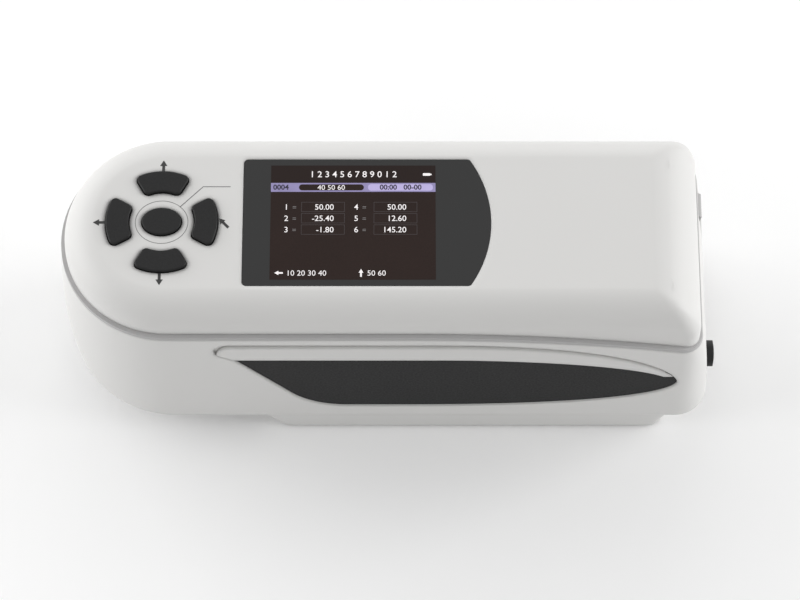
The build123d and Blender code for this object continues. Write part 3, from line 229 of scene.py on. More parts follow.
def mount(piece: bpy.types.Object, finish: bpy.types.Material) -> None:
    """Dress a finished piece, set it on the housing and report it.

    Args:
        piece: The piece.
        finish: Its material.
    """
    dress(piece, finish)
    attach(piece, HOUSING)
    LOG.info("laid %s", piece.name)


@dataclass(frozen=True)
class ArrowForm:
    """The proportions of a flat arrow.

    Attributes:
        shaft: Width of its shaft in metres.
        head_r: Radius of the circle round its three-cornered head, in metres.
        neck: How far behind its point the shaft ends, in metres.
    """

    shaft: float
    head_r: float
    neck: float

    def lay(self, name: str, tail: Point, point: Point, height: float, size: float = 1.0) -> bpy.types.Object:
        """Lay a flat arrow.

        Args:
            name: The piece's name.
            tail: Where its shaft begins, in metres.
            point: Where its head ends, in metres.
            height: Its height in metres.
            size: Scale of the shaft's width and of the head.

        Returns:
            The flat arrow.
        """
        heading = math.atan2(point[1] - tail[1], point[0] - tail[0])
        along = (math.cos(heading), math.sin(heading))
        neck = self.neck * size
        head_r = self.head_r * size
        neck_end = (point[0] - neck * along[0], point[1] - neck * along[1])
        shaft = flat_strip(tail, neck_end, self.shaft * size, height)
        middle = (point[0] - head_r * along[0], point[1] - head_r * along[1], height)
        clear_selection()
        bpy.ops.mesh.primitive_circle_add(vertices=3, radius=head_r, fill_type="NGON", location=middle)
        head = bpy.context.object
        head.rotation_euler = (0.0, 0.0, heading - math.pi / 2)
        settle(head)
        return join([shaft, head], name)


class Graph:
    """The node graph of one new material.

    Attributes:
        made: The material.
        shader: Its main shader.
        place: The node that gives object coordinates, once a texture needs it.
    """

    def __init__(self, name: str) -> None:
        """Start a material.

        Args:
            name: The material's name.
        """
        self.made = bpy.data.materials.new(name)
        self.made.use_nodes = True
        self.shader = self.made.node_tree.nodes["Principled BSDF"]
        self.place: bpy.types.Node | None = None

    def add(self, kind: str, values: dict[str | int, float | Colour]) -> bpy.types.Node:
        """Add a node.

        Args:
            kind: The node's type.
            values: Its inputs by name or number.

        Returns:
            The node.
        """
        node = self.made.node_tree.nodes.new(kind)
        self.fill(node, values)
        return node

    def fill(self, node: bpy.types.Node, values: dict[str | int, float | Colour]) -> None:
        """Set a node's inputs by name or number."""
        for socket, value in values.items():
            node.inputs[socket].default_value = value

    def feed(self, source: bpy.types.NodeSocket, node: bpy.types.Node, socket: str | int) -> None:
        """Link an output to a node's input."""
        self.made.node_tree.links.new(source, node.inputs[socket])

    def texture(self, kind: str, values: dict[str | int, float | Colour]) -> bpy.types.Node:
        """Add a texture in object coordinates.

        Args:
            kind: The texture node's type.
            values: Its inputs by name or number.

        Returns:
            The texture node.
        """
        if self.place is None:
            self.place = self.add("ShaderNodeTexCoord", {})
        node = self.add(kind, values)
        self.feed(self.place.outputs["Object"], node, "Vector")
        return node

    def vary_gloss(self, pattern: bpy.types.Node, low: float, high: float) -> None:
        """Let a texture vary the roughness.

        Args:
            pattern: The texture node.
            low: Lowest roughness.
            high: Highest roughness.
        """
        gloss = self.add("ShaderNodeMapRange", {"To Min": low, "To Max": high})
        self.feed(pattern.outputs["Fac"], gloss, "Value")
        self.feed(gloss.outputs["Result"], self.shader, "Roughness")

    def emboss(self, pattern: bpy.types.Node, strength: float, height: float) -> bpy.types.Node:
        """Let a texture raise the surface.

        Args:
            pattern: The texture node.
            strength: Share of the relief that shows.
            height: Height of the relief in metres.

        Returns:
            The relief's node.
        """
        relief = self.add("ShaderNodeBump", {"Strength": strength, "Distance": height})
        self.feed(pattern.outputs["Fac"], relief, "Height")
        self.feed(relief.outputs["Normal"], self.shader, "Normal")
        return relief


@dataclass(frozen=True)
class Finish:
    """A surface: its colour with a slow tone change, its fine grain and its gloss.

    Attributes:
        name: The material's name.
        colour: Linear base colour.
        tone: How far the colour drifts, as a share of itself.
        tone_scale: Size of the drift, in waves per metre.
        tone_detail: How finely the drift is broken up.
        speckle: Strength of the fine speckle, as a share of the colour.
        speckle_low: Grain value at which the speckle is darkest.
        speckle_high: Grain value at which the speckle is lightest.
        grain_scale: Size of the grain, in cells per metre.
        grain_detail: How finely the grain is broken up.
        grain_height: Height of the grain in metres.
        grain_strength: Share of the grain's relief that shows.
        roughness: Middle roughness.
        roughness_spread: How far the roughness drifts.
        roughness_least: Roughness that the drift never goes below.
        metallic: Metal share.
        specular: Specular level.
        coat: Weight of a clear coat.
        glow: Strength of the surface's own light.
        edge_round: How far a moulded edge looks softened, in metres.
        edge_samples: Samples of that softening.
    """

    name: str
    colour: Colour
    tone: float = 0.02
    tone_scale: float = 28.0
    tone_detail: float = 3.0
    speckle: float = 0.0
    speckle_low: float = 0.3
    speckle_high: float = 0.7
    grain_scale: float = 2600.0
    grain_detail: float = 2.0
    grain_height: float = 0.00002
    grain_strength: float = 0.6
    roughness: float = 0.5
    roughness_spread: float = 0.06
    roughness_least: float = 0.03
    metallic: float = 0.0
    specular: float = 0.5
    coat: float = 0.0
    glow: float = 0.0
    edge_round: float = 0.0
    edge_samples: int = 8

    def scaled(self, share: float) -> Colour:
        """Return the colour made lighter or darker by a share."""
        return rgb(self.colour[0] * share, self.colour[1] * share, self.colour[2] * share)

    def paint(self, graph: Graph, drift: bpy.types.Node, grain: bpy.types.Node) -> None:
        """Lay the colour with its tone change and speckle, and let it glow.

        Args:
            graph: The material's graph.
            drift: The slow pattern.
            grain: The fine pattern.
        """
        tint = graph.add("ShaderNodeMix", {
            MIX_FIRST: self.scaled(1.0 - self.tone),
            MIX_SECOND: self.scaled(1.0 + self.tone),
        })
        tint.data_type = "RGBA"
        graph.feed(drift.outputs["Fac"], tint, MIX_FACTOR)
        fleck = graph.add("ShaderNodeMapRange", {
            "From Min": self.speckle_low,
            "From Max": self.speckle_high,
            "To Min": 1.0 - self.speckle,
            "To Max": 1.0 + self.speckle,
        })
        graph.feed(grain.outputs["Fac"], fleck, "Value")
        shade = graph.add("ShaderNodeVectorMath", {})
        shade.operation = "SCALE"
        graph.feed(tint.outputs[MIX_COLOUR], shade, 0)
        graph.feed(fleck.outputs["Result"], shade, "Scale")
        graph.feed(shade.outputs["Vector"], graph.shader, "Base Color")
        if self.glow > 0:
            graph.feed(shade.outputs["Vector"], graph.shader, "Emission Color")
            graph.fill(graph.shader, {"Emission Strength": self.glow})

    def soften_edges(self, graph: Graph, relief: bpy.types.Node) -> None:
        """Let the light see the moulded edges as rounded.

        Args:
            graph: The material's graph.
            relief: The grain's relief, which takes the softened surface.
        """
        rounding = graph.add("ShaderNodeBevel", {"Radius": self.edge_round})
        rounding.samples = self.edge_samples
        graph.feed(rounding.outputs["Normal"], relief, "Normal")

    def material(self) -> bpy.types.Material:
        """Build the material.

        Returns:
            The new material.
        """
        graph = Graph(self.name)
        drift = graph.texture("ShaderNodeTexNoise", {"Scale": self.tone_scale, "Detail": self.tone_detail})
        grain = graph.texture("ShaderNodeTexNoise", {"Scale": self.grain_scale, "Detail": self.grain_detail})
        self.paint(graph, drift, grain)
        low = max(self.roughness - self.roughness_spread, self.roughness_least)
        high = min(self.roughness + self.roughness_spread, 1.0)
        graph.vary_gloss(drift, low, high)
        relief = graph.emboss(grain, self.grain_strength, self.grain_height)
        if self.edge_round > 0:
            self.soften_edges(graph, relief)
        graph.fill(graph.shader, {
            "Metallic": self.metallic,
            "Specular IOR Level": self.specular,
            "Coat Weight": self.coat,
        })
        return graph.made


@dataclass(frozen=True)
class InkFinish(Finish):
    """Matt grey printing ink."""

    tone: float = 0.08
    roughness: float = 0.6
    grain_scale: float = 3000.0


@dataclass(frozen=True)
class ScreenFinish(Finish):
    """A lit part of the screen: nearly smooth, with its own light."""

    roughness: float = 0.35
    grain_scale: float = 3000.0
    grain_height: float = 0.000001
    glow: float = 0.3


@dataclass(frozen=True)
class ClearFinish:
    """A clear glass or lamp body with a faint tint.

    Attributes:
        name: The material's name.
        colour: Linear tint.
        roughness: Lowest surface roughness.
        smear: How much rougher the faint smears are.
        smear_scale: Size of the smears, in waves per metre.
        clearness: Share of the light that passes.
        ior: Index of refraction.
    """

    name: str
    colour: Colour
    roughness: float = 0.04
    smear: float = 0.08
    smear_scale: float = 300.0
    clearness: float = 0.9
    ior: float = 1.5

    def material(self) -> bpy.types.Material:
        """Build the material.

        Returns:
            The new material.
        """
        graph = Graph(self.name)
        smears = graph.texture("ShaderNodeTexNoise", {"Scale": self.smear_scale})
        graph.vary_gloss(smears, self.roughness, self.roughness + self.smear)
        graph.fill(graph.shader, {
            "Base Color": self.colour,
            "Transmission Weight": self.clearness,
            "IOR": self.ior,
        })
        return graph.made


@dataclass(frozen=True)
class BoardFinish:
    """A circuit board's solder mask with rows of fine tracks.

    Attributes:
        name: The material's name.
        mask: Linear colour of the mask.
        track: Linear colour of the mask over copper.
        pitch: Rows of tracks per metre.
        track_width: Width of a track, as a share of the pattern's unit.
        relief_strength: Share of the tracks' relief that shows.
        relief_height: Height of the tracks in metres.
        roughness: Surface roughness.
    """

    name: str
    mask: Colour
    track: Colour
    pitch: float = 225.0
    track_width: float = 0.06
    relief_strength: float = 0.3
    relief_height: float = 0.00003
    roughness: float = 0.35

    def material(self) -> bpy.types.Material:
        """Build the material.

        Returns:
            The new material.
        """
        graph = Graph(self.name)
        tracks = graph.texture("ShaderNodeTexBrick", {
            "Scale": self.pitch,
            "Color1": self.mask,
            "Color2": self.mask,
            "Mortar": self.track,
            "Mortar Size": self.track_width,
        })
        graph.feed(tracks.outputs["Color"], graph.shader, "Base Color")
        graph.emboss(tracks, self.relief_strength, self.relief_height)
        graph.fill(graph.shader, {"Roughness": self.roughness})
        return graph.made


@dataclass
class Palette:
    """Every finish of the instrument, one material each."""

    shell: Finish = Finish("satin_off_white", rgb(0.675, 0.670, 0.658), tone=0.012, roughness=0.46,
                           grain_scale=3800.0, grain_height=0.000006, roughness_spread=0.04, specular=0.35,
                           edge_round=0.0022)
    shoe: Finish = Finish("satin_shoe_white", rgb(0.68, 0.677, 0.665), tone=0.015, roughness=0.5,
                          grain_scale=3400.0, grain_height=0.00001, specular=0.35)
    trim: Finish = Finish("satin_seam_grey", rgb(0.42, 0.415, 0.415), tone=0.02, roughness=0.48,
                          grain_scale=3600.0, grain_height=0.00001, specular=0.35)
    grip: Finish = Finish("soft_touch_grip", rgb(0.0195, 0.0195, 0.0198), tone=0.05, speckle=0.35,
                          roughness=0.8, grain_scale=1500.0, grain_height=0.00006, specular=0.25)
    key: Finish = Finish("soft_touch_key", rgb(0.0050, 0.0050, 0.0052), tone=0.05, speckle=0.35,
                         roughness=0.5, grain_scale=1700.0, grain_height=0.00005, specular=0.28)
    measure: Finish = Finish("moulded_black_key", grey(0.006), tone=0.05, speckle=0.1, roughness=0.45,
                             grain_scale=2600.0, grain_height=0.00001, specular=0.3)
    window: Finish = Finish("dark_window", grey(0.021), tone=0.02, roughness=0.38, roughness_spread=0.03,
                            grain_scale=5200.0, grain_height=0.000002, specular=0.3)
    foot: Finish = Finish("pad_rubber", rgb(0.035, 0.035, 0.036), tone=0.08, speckle=0.25, roughness=0.85,
                          grain_scale=1800.0, grain_height=0.00008, specular=0.2)
    foam: Finish = Finish("black_foam", grey(0.012), tone=0.1, speckle=0.4, roughness=0.95,
                          grain_scale=1500.0, grain_height=0.0001, specular=0.1)
    inner: Finish = Finish("moulded_inner_black", rgb(0.02, 0.02, 0.021), tone=0.06, speckle=0.1,
                           roughness=0.55, grain_scale=2200.0, grain_height=0.00002)
    steel: Finish = Finish("plated_steel", rgb(0.55, 0.55, 0.56), tone=0.06, roughness=0.3, metallic=1.0,
                           roughness_spread=0.1, grain_scale=3000.0, grain_height=0.000006)
    anodised: Finish = Finish("black_anodised", rgb(0.02, 0.02, 0.022), tone=0.06, roughness=0.42,
                              metallic=0.7, grain_scale=4000.0, grain_height=0.00001)
    coating: Finish = Finish("diffuse_white_coating", rgb(0.9, 0.9, 0.89), tone=0.01, roughness=0.95,
                             grain_scale=2400.0, grain_height=0.00003, specular=0.1)
    wrap: Finish = Finish("cell_wrap_blue", rgb(0.03, 0.10, 0.32), tone=0.05, roughness=0.3, coat=0.3,
                          grain_scale=900.0, grain_height=0.00002)
    glass: ClearFinish = ClearFinish("coated_lens", rgb(0.9, 0.95, 0.97))
    lamp: ClearFinish = ClearFinish("lamp_resin", rgb(0.95, 0.93, 0.85), roughness=0.12)
    board: BoardFinish = BoardFinish("green_board", rgb(0.01, 0.10, 0.035), rgb(0.03, 0.17, 0.07))
    ink: InkFinish = InkFinish("grey_ink", grey(0.022))
    fine_ink: InkFinish = InkFinish("fine_grey_ink", grey(0.12))
    ground: ScreenFinish = ScreenFinish("screen_dark", rgb(0.0166, 0.0094, 0.0078), tone=0.10,
                                        tone_scale=60.0, speckle=0.10, glow=0.25, specular=0.15)
    title: ScreenFinish = ScreenFinish("screen_title_strip", rgb(0.0140, 0.0082, 0.0072), tone=0.10,
                                       glow=0.25, specular=0.15)
    lilac: ScreenFinish = ScreenFinish("screen_lilac_strip", rgb(0.142, 0.124, 0.23), tone=0.25,
                                       tone_scale=160.0, glow=0.95)
    pale: ScreenFinish = ScreenFinish("screen_pale_field", rgb(0.25, 0.22, 0.37), tone=0.12,
                                      tone_scale=120.0, glow=0.95)
    white: ScreenFinish = ScreenFinish("screen_white_figures", rgb(0.55, 0.53, 0.53), tone=0.04, glow=0.8)
    faint: ScreenFinish = ScreenFinish("screen_faint_line", rgb(0.038, 0.030, 0.032), tone=0.08)
    soft: ScreenFinish = ScreenFinish("screen_grey_figures", rgb(0.15, 0.14, 0.14), tone=0.04)
    dark: ScreenFinish = ScreenFinish("screen_dark_figures", rgb(0.008, 0.005, 0.02), tone=0.06)
    made: dict[str, bpy.types.Material] = field(default_factory=dict)

    def get(self, name: str) -> bpy.types.Material:
        """Return a finish's material, made on its first use.

        Args:
            name: The field's name.

        Returns:
            The material.
        """
        if name not in self.made:
            self.made[name] = getattr(self, name).material()
        return self.made[name]


@dataclass
class CadDressing:
    """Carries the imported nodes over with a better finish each."""

    palette: Palette
    finishes: dict[str, tuple[str, ...]] = field(default_factory=lambda: {
        "shell": ("upper_shell", "lower_shell"),
        "shoe": ("base_shoe",),
        "trim": ("seam_trim", "power_rocker"),
        "grip": ("near_grip", "far_grip"),
        "key": ("menu_key", "up_key", "down_key", "left_key", "right_key"),
        "measure": ("measure_key",),
        "window": ("display_window", "display_module"),
        "foot": ("rubber_feet",),
        "foam": ("display_gasket",),
        "inner": ("display_frame", "battery_cradle", "rocker_switch", "key_switches", "measure_switch"),
        "steel": ("usb_socket", "battery_contacts", "housing_screws", "shoe_screws", "board_screws",
                  "optics_screws"),
        "anodised": ("optics_frame", "receiver_barrel", "aperture_nose"),
        "coating": ("sphere_lower", "sphere_upper"),
        "wrap": ("battery_cell",),
        "glass": ("receiver_lens",),
        "lamp": ("lamps",),
        "board": ("front_board", "main_board", "end_board", "sensor_board"),
    })

    def apply(self, nodes: dict[str, bpy.types.Object]) -> int:
        """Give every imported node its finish.

        Args:
            nodes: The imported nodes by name.

        Returns:
            How many nodes were dressed.
        """
        count = 0
        for finish, names in self.finishes.items():
            for name in names:
                dress(nodes[name], self.palette.get(finish))
                count += 1
        return count


@dataclass(frozen=True)
class PrintedArrow:
    """One arrow printed beside a key.

    Attributes:
        name: The piece's name.
        tail: Where its shaft begins, in metres.
        point: Where its head ends, in metres.
        size: Scale of the shaft's width and of the head.
    """

    name: str
    tail: Point
    point: Point
    size: float = 1.0


@dataclass
class KeypadPrint:
    """The marks printed round the keys: arrows, the ring of the oval key and its leader line."""

    palette: Palette
    ink_depth: float = 0.04 * MM
    ring_centre: Point = (-70.25 * MM, 0.0)
    ring_x: float = 8.2 * MM
    ring_y: float = 7.4 * MM
    ring_line: float = 0.16 * MM
    ring_steps: int = 128
    form: ArrowForm = ArrowForm(shaft=0.9 * MM, head_r=1.29735 * MM, neck=1.88325 * MM)
    arrows: tuple[PrintedArrow, ...] = (
        PrintedArrow("arrow_up", (-70.15 * MM, 17.5 * MM), (-70.15 * MM, 21.5 * MM)),
        PrintedArrow("arrow_down", (-70.45 * MM, -17.5 * MM), (-70.45 * MM, -21.6 * MM)),
        PrintedArrow("arrow_left", (-87.6 * MM, -0.1 * MM), (-91.5 * MM, -0.1 * MM)),
        PrintedArrow("arrow_right", (-49.6 * MM, -1.9 * MM), (-52.6 * MM, 1.3 * MM), size=0.95),
    )
    leader_start: Point = (-64.75 * MM, 5.2 * MM)
    leader_knee: Point = (-57.7 * MM, 12.3 * MM)
    leader_end: Point = (-49.2 * MM, 12.3 * MM)
    leader_line: float = 0.22 * MM

    def print_mark(self, piece: bpy.types.Object, ink: str) -> None:
        """Thicken a printed mark, ink it and set it on the housing.

        Args:
            piece: The flat mark.
            ink: The name of its ink.
        """
        thicken(piece, self.ink_depth)
        mount(piece, self.palette.get(ink))

    def ring(self) -> None:
        """Print the oval line round the centre key."""
        clear_selection()
        bpy.ops.mesh.primitive_circle_add(vertices=self.ring_steps, radius=1.0, fill_type="NGON",
                                          location=(*self.ring_centre, COVER_TOP))
        piece = bpy.context.object
        piece.name = "key_ring_line"
        piece.scale = (self.ring_x, self.ring_y, 1.0)
        settle(piece)
        hollow(piece, self.ring_line)
        self.print_mark(piece, "fine_ink")

    def leader(self) -> None:
        """Print the bent line that leads away from the oval key."""
        first = flat_strip(self.leader_start, self.leader_knee, self.leader_line, COVER_TOP)
        second = flat_strip(self.leader_knee, self.leader_end, self.leader_line, COVER_TOP)
        self.print_mark(join([first, second], "key_leader_line"), "fine_ink")

    def build(self) -> None:
        """Print every mark of the keypad."""
        self.ring()
        for arrow in self.arrows:
            piece = self.form.lay(arrow.name, arrow.tail, arrow.point, COVER_TOP, arrow.size)
            self.print_mark(piece, "ink")
        self.leader()


@dataclass(frozen=True)
class Panel:
    """One flat field of the screen.

    Attributes:
        name: The piece's name.
        box: Low x, high x, low y and high y in metres.
        rank: Its layer.
        finish: The name of its finish.
        corner: Radius of its corners in metres.
    """

    name: str
    box: Box
    rank: int
    finish: str
    corner: float = 0.1 * MM


@dataclass(frozen=True)
class Caption:
    """One line of plain figures on the screen.

    Attributes:
        name: The piece's name.
        figures: The digits and signs.
        place: Base point in metres.
        height: Height of a digit in metres.
        finish: The name of its finish.
        lay: How the line is placed against the point.
        bold: Extra stroke in metres.
    """

    name: str
    figures: str
    place: Point
    height: float
    finish: str = "white"
    lay: Lay = Lay.LEFT
    bold: float = 0.0


@dataclass(frozen=True)
class Column:
    """One column of readings on the screen.

    Attributes:
        label_x: Left end of its labels in metres.
        value_x: Right end of its values in metres.
        labels: The labels from the top down.
        values: The values from the top down.
    """

    label_x: float
    value_x: float
    labels: tuple[str, ...]
    values: tuple[str, ...]


@dataclass
class ScreenContent:
    """What the lit screen shows: strips, pill, boxes and plain figures, a hair above the window."""

    palette: Palette
    lift: float = 0.02 * MM
    layer: float = 0.02 * MM
    sheet_depth: float = 0.01 * MM
    figure_depth: float = 0.006 * MM
    figure_rank: int = 3
    figure_steps: int = 4
    type_share: float = 1.42
    corner_steps: int = 6
    low_x: float = -36.7 * MM
    high_x: float = 14.3 * MM
    half_y: float = 19.7 * MM
    fields: tuple[Panel, ...] = (
        Panel("screen_ground", (low_x, high_x, -half_y, half_y), 0, "ground"),
        Panel("screen_title", (low_x, high_x, 14.0 * MM, half_y), 1, "title"),
        Panel("screen_strip", (low_x, high_x, 10.5 * MM, 13.6 * MM), 1, "lilac"),
        Panel("screen_pill", (-28.0 * MM, -7.9 * MM, 11.0 * MM, 13.1 * MM), 2, "ground", 1.0 * MM),
        Panel("screen_field", (-6.6 * MM, 13.5 * MM, 10.9 * MM, 13.2 * MM), 2, "pale", 1.0 * MM),
    )
    heading: Caption = Caption("screen_heading", "1 2 3 4 5 6 7 8 9 0 1 2", (-11.15 * MM, 15.6 * MM),
                               2.1 * MM, lay=Lay.CENTRE, bold=0.02 * MM)
    strip_height: float = 1.7 * MM
    strip_bold: float = 0.06 * MM
    strip_lines: tuple[Caption, ...] = (
        Caption("screen_count", "0004", (-36.0 * MM, 11.3 * MM), strip_height, "dark", bold=strip_bold),
        Caption("screen_code", "40 50 60", (-18.0 * MM, 11.2 * MM), strip_height, lay=Lay.CENTRE),
        Caption("screen_clock", "00:00   00-00", (3.5 * MM, 11.3 * MM), strip_height, "dark", Lay.CENTRE,
                strip_bold),
    )
    first_row: float = 4.3 * MM
    row_step: float = 3.91 * MM
    row_height: float = 1.9 * MM
    row_bold: float = 0.01 * MM
    equals_height: float = 1.6 * MM
    equals_gap: float = 2.5 * MM
    columns: tuple[Column, ...] = (
        Column(-32.5 * MM, -17.1 * MM, ("1", "2", "3"), ("50.00", "-25.40", "-1.80")),
        Column(-10.9 * MM, 5.3 * MM, ("4", "5", "6"), ("50.00", "12.60", "145.20")),
    )
    frame_left: float = 10.1 * MM
    frame_right: float = 3.3 * MM
    frame_below: float = 0.75 * MM
    frame_above: float = 2.65 * MM
    frame_line: float = 0.12 * MM
    footer_height: float = 1.8 * MM
    footer_y: float = -18.35 * MM
    footers: tuple[Caption, ...] = (
        Caption("screen_footer_left", "10 20 30 40", (-31.6 * MM, footer_y), footer_height),
        Caption("screen_footer_right", "50 60", (-6.8 * MM, footer_y), footer_height),
    )
    mark_y: float = -17.45 * MM
    mark_left_x: float = -33.9 * MM
    mark_up_x: float = -8.65 * MM
    mark_form: ArrowForm = ArrowForm(shaft=0.55 * MM, head_r=0.85 * MM, neck=1.25 * MM)
    mark_behind: float = 1.3 * MM
    mark_ahead: float = 1.35 * MM
    cell: tuple[Panel, ...] = (
        Panel("screen_cell", (10.4 * MM, 12.7 * MM, 16.1 * MM, 17.0 * MM), 3, "white", 0.2 * MM),
        Panel("screen_cell_tip", (12.7 * MM, 13.1 * MM, 16.3 * MM, 16.8 * MM), 3, "white"),
    )

    def level(self, rank: int) -> float:
        """Return the height of a layer."""
        return COVER_TOP + self.lift + rank * self.layer

    def put(self, piece: bpy.types.Object, finish: str) -> None:
        """Thicken a flat screen piece, dress it and set it on the housing.

        Args:
            piece: The flat piece.
            finish: The name of its finish.
        """
        thicken(piece, self.sheet_depth)
        mount(piece, self.palette.get(finish))

    def lay_panel(self, panel: Panel) -> None:
        """Lay a flat field with rounded corners.

        Args:
            panel: The field.
        """
        piece = flat_plate(panel.name, panel.box, self.level(panel.rank))
        bpy.ops.object.mode_set(mode="EDIT")
        bpy.ops.mesh.select_all(action="SELECT")
        bpy.ops.mesh.bevel(offset=panel.corner, segments=self.corner_steps, affect="VERTICES",
                           clamp_overlap=True)
        bpy.ops.object.mode_set(mode="OBJECT")
        self.put(piece, panel.finish)

    def write(self, caption: Caption) -> None:
        """Write one line of plain figures.

        Args:
            caption: The line.
        """
        clear_selection()
        bpy.ops.object.text_add(location=(*caption.place, self.level(self.figure_rank)))
        piece = bpy.context.object
        piece.name = caption.name
        piece.data.body = caption.figures
        piece.data.size = caption.height * self.type_share
        piece.data.align_x = caption.lay.value
        piece.data.offset = caption.bold
        piece.data.extrude = self.figure_depth
        piece.data.resolution_u = self.figure_steps
        bpy.ops.object.convert(target="MESH")
        piece = bpy.context.object
        settle(piece)
        mount(piece, self.palette.get(caption.finish))

    def lay_frame(self, name: str, box: Box) -> None:
        """Lay the faint frame of one value.

        Args:
            name: The piece's name.
            box: Low x, high x, low y and high y in metres.
        """
        piece = flat_plate(name, box, self.level(1))
        hollow(piece, self.frame_line)
        self.put(piece, "faint")

    def reading(self, side: int, row: int) -> None:
        """Write one labelled value in its frame.

        Args:
            side: Which column, from nothing.
            row: Which row, from nothing at the top.
        """
        column = self.columns[side]
        base_y = self.first_row - self.row_step * row
        value_x = column.value_x
        tag = f"{side + 1}_{row + 1}"
        label_at = (column.label_x, base_y)
        equals_at = (column.label_x + self.equals_gap, base_y)
        value_at = (value_x, base_y)
        self.write(Caption(f"screen_label_{tag}", column.labels[row], label_at, self.row_height,
                           bold=self.row_bold))
        self.write(Caption(f"screen_equals_{tag}", "=", equals_at, self.equals_height, "soft"))
        self.write(Caption(f"screen_value_{tag}", column.values[row], value_at, self.row_height,
                           lay=Lay.RIGHT, bold=self.row_bold))
        self.lay_frame(f"screen_box_{tag}", (value_x - self.frame_left, value_x + self.frame_right,
                                             base_y - self.frame_below, base_y + self.frame_above))

    def mark(self, name: str, x: float, heading: Heading) -> None:
        """Lay a small arrow symbol beside a footer.

        Args:
            name: The piece's name.
            x: Its middle along x in metres.
            heading: The way it points.
        """
        turn = math.radians(heading.value)
        along = (math.cos(turn), math.sin(turn))
        tail = (x - self.mark_behind * along[0], self.mark_y - self.mark_behind * along[1])
        point = (x + self.mark_ahead * along[0], self.mark_y + self.mark_ahead * along[1])
        self.put(self.mark_form.lay(name, tail, point, self.level(self.figure_rank)), "white")

    def build(self) -> None:
        """Lay the whole screen picture."""
        for panel in self.fields:
            self.lay_panel(panel)
        for caption in (self.heading, *self.strip_lines):
            self.write(caption)
        for side, column in enumerate(self.columns):
            for row in range(len(column.values)):
                self.reading(side, row)
        for caption in self.footers:
            self.write(caption)
        self.mark("screen_mark_left", self.mark_left_x, Heading.LEFT)
        self.mark("screen_mark_up", self.mark_up_x, Heading.UP)
        for panel in self.cell:
            self.lay_panel(panel)


@dataclass(frozen=True)
class Knot:
    """One point of a side outline, with the two ends of its curve handles, as x and z in metres.

    Attributes:
        at: The point.
        before: End of the handle towards the point before it.
        after: End of the handle towards the point after it.
    """

    at: Point
    before: Point
    after: Point


@dataclass
class FlankPad:
    """The raised field of each flank above the grip, which leaves a groove along the top of the scoop."""

    palette: Palette
    floor_y: float = 32.5 * MM
    face_y: float = 33.64 * MM
    edge: float = 0.2 * MM
    edge_steps: int = 3
    curve_steps: int = 24
    smooth_angle: float = 35.0
    nose_x: float = -48.9 * MM
    nose_r: float = 4.9 * MM
    nose_fall: float = 1.1
    top_z: float = 62.85 * MM
    base_z: float = 53.85 * MM
    crest_x: float = 16.0 * MM
    notch_x: float = 86.3 * MM
    tip_x: float = 89.3 * MM
    tip_z: float = 41.5 * MM
    crest_pull_x: float = 64.1 * MM
    tip_pull: Point = (83.1 * MM, 50.4 * MM)
    notch_pull: Point = (76.0 * MM, 49.2 * MM)
    grip_pull_x: float = 45.0 * MM

    def outline(self) -> list[Knot]:
        """Return the field's outline, from the top of its nose round to its lower front corner.

        Returns:
            The knots in order.
        """
        round_reach = self.nose_r * 4 / 3 * math.tan(math.pi / 8)
        front_x = self.nose_x - self.nose_r
        nose_low_z = self.top_z - self.nose_fall * self.nose_r
        heel = (self.nose_x, self.base_z)
        nose_low = (front_x, nose_low_z)
        nose_top = (self.nose_x, self.top_z)
        crest = (self.crest_x, self.top_z)
        tip = (self.tip_x, self.tip_z)
        notch = (self.notch_x, self.tip_z)
        grip_crest = (self.crest_x, self.base_z)
        return [
            Knot(nose_top, (self.nose_x - round_reach, self.top_z), crest),
            Knot(crest, nose_top, (self.crest_pull_x, self.top_z)),
            Knot(tip, self.tip_pull, notch),
            Knot(notch, tip, self.notch_pull),
            Knot(grip_crest, (self.grip_pull_x, self.base_z), heel),
            Knot(heel, grip_crest, nose_low),
            Knot(nose_low, heel, (front_x, nose_low_z + round_reach)),
        ]

    def draw(self, spline: bpy.types.Spline) -> None:
        """Give a curve the field's outline.

        Args:
            spline: The curve to shape.
        """
        knots = self.outline()
        spline.bezier_points.add(len(knots) - len(spline.bezier_points))
        for point, knot in zip(spline.bezier_points, knots):
            point.handle_left_type = "FREE"
            point.handle_right_type = "FREE"
            point.co = (*knot.at, 0.0)
            point.handle_left = (*knot.before, 0.0)
            point.handle_right = (*knot.after, 0.0)
        spline.use_cyclic_u = True
        spline.resolution_u = self.curve_steps

    def field(self, name: str, side: int) -> None:
        """Lay the field on one flank.

        Args:
            name: The piece's name.
            side: -1 for the near flank, 1 for the far one.
        """
        clear_selection()
        middle_y = side * (self.floor_y + self.face_y) / 2
        bpy.ops.curve.primitive_bezier_curve_add(location=(0.0, middle_y, 0.0),
                                                 rotation=(math.pi / 2, 0.0, 0.0))
        piece = bpy.context.object
        piece.name = name
        self.draw(piece.data.splines[0])
        piece.data.dimensions = "2D"
        piece.data.fill_mode = "BOTH"
        piece.data.extrude = (self.face_y - self.floor_y) / 2 - self.edge
        piece.data.bevel_depth = self.edge
        piece.data.bevel_resolution = self.edge_steps
        piece.data.offset = -self.edge
        bpy.ops.object.convert(target="MESH")
        piece = bpy.context.object
        settle(piece)
        bpy.ops.object.shade_smooth_by_angle(angle=math.radians(self.smooth_angle))
        mount(piece, self.palette.get("shell"))

    def build(self) -> None:
        """Lay both fields."""
        self.field("near_flank_field", -1)
        self.field("far_flank_field", 1)


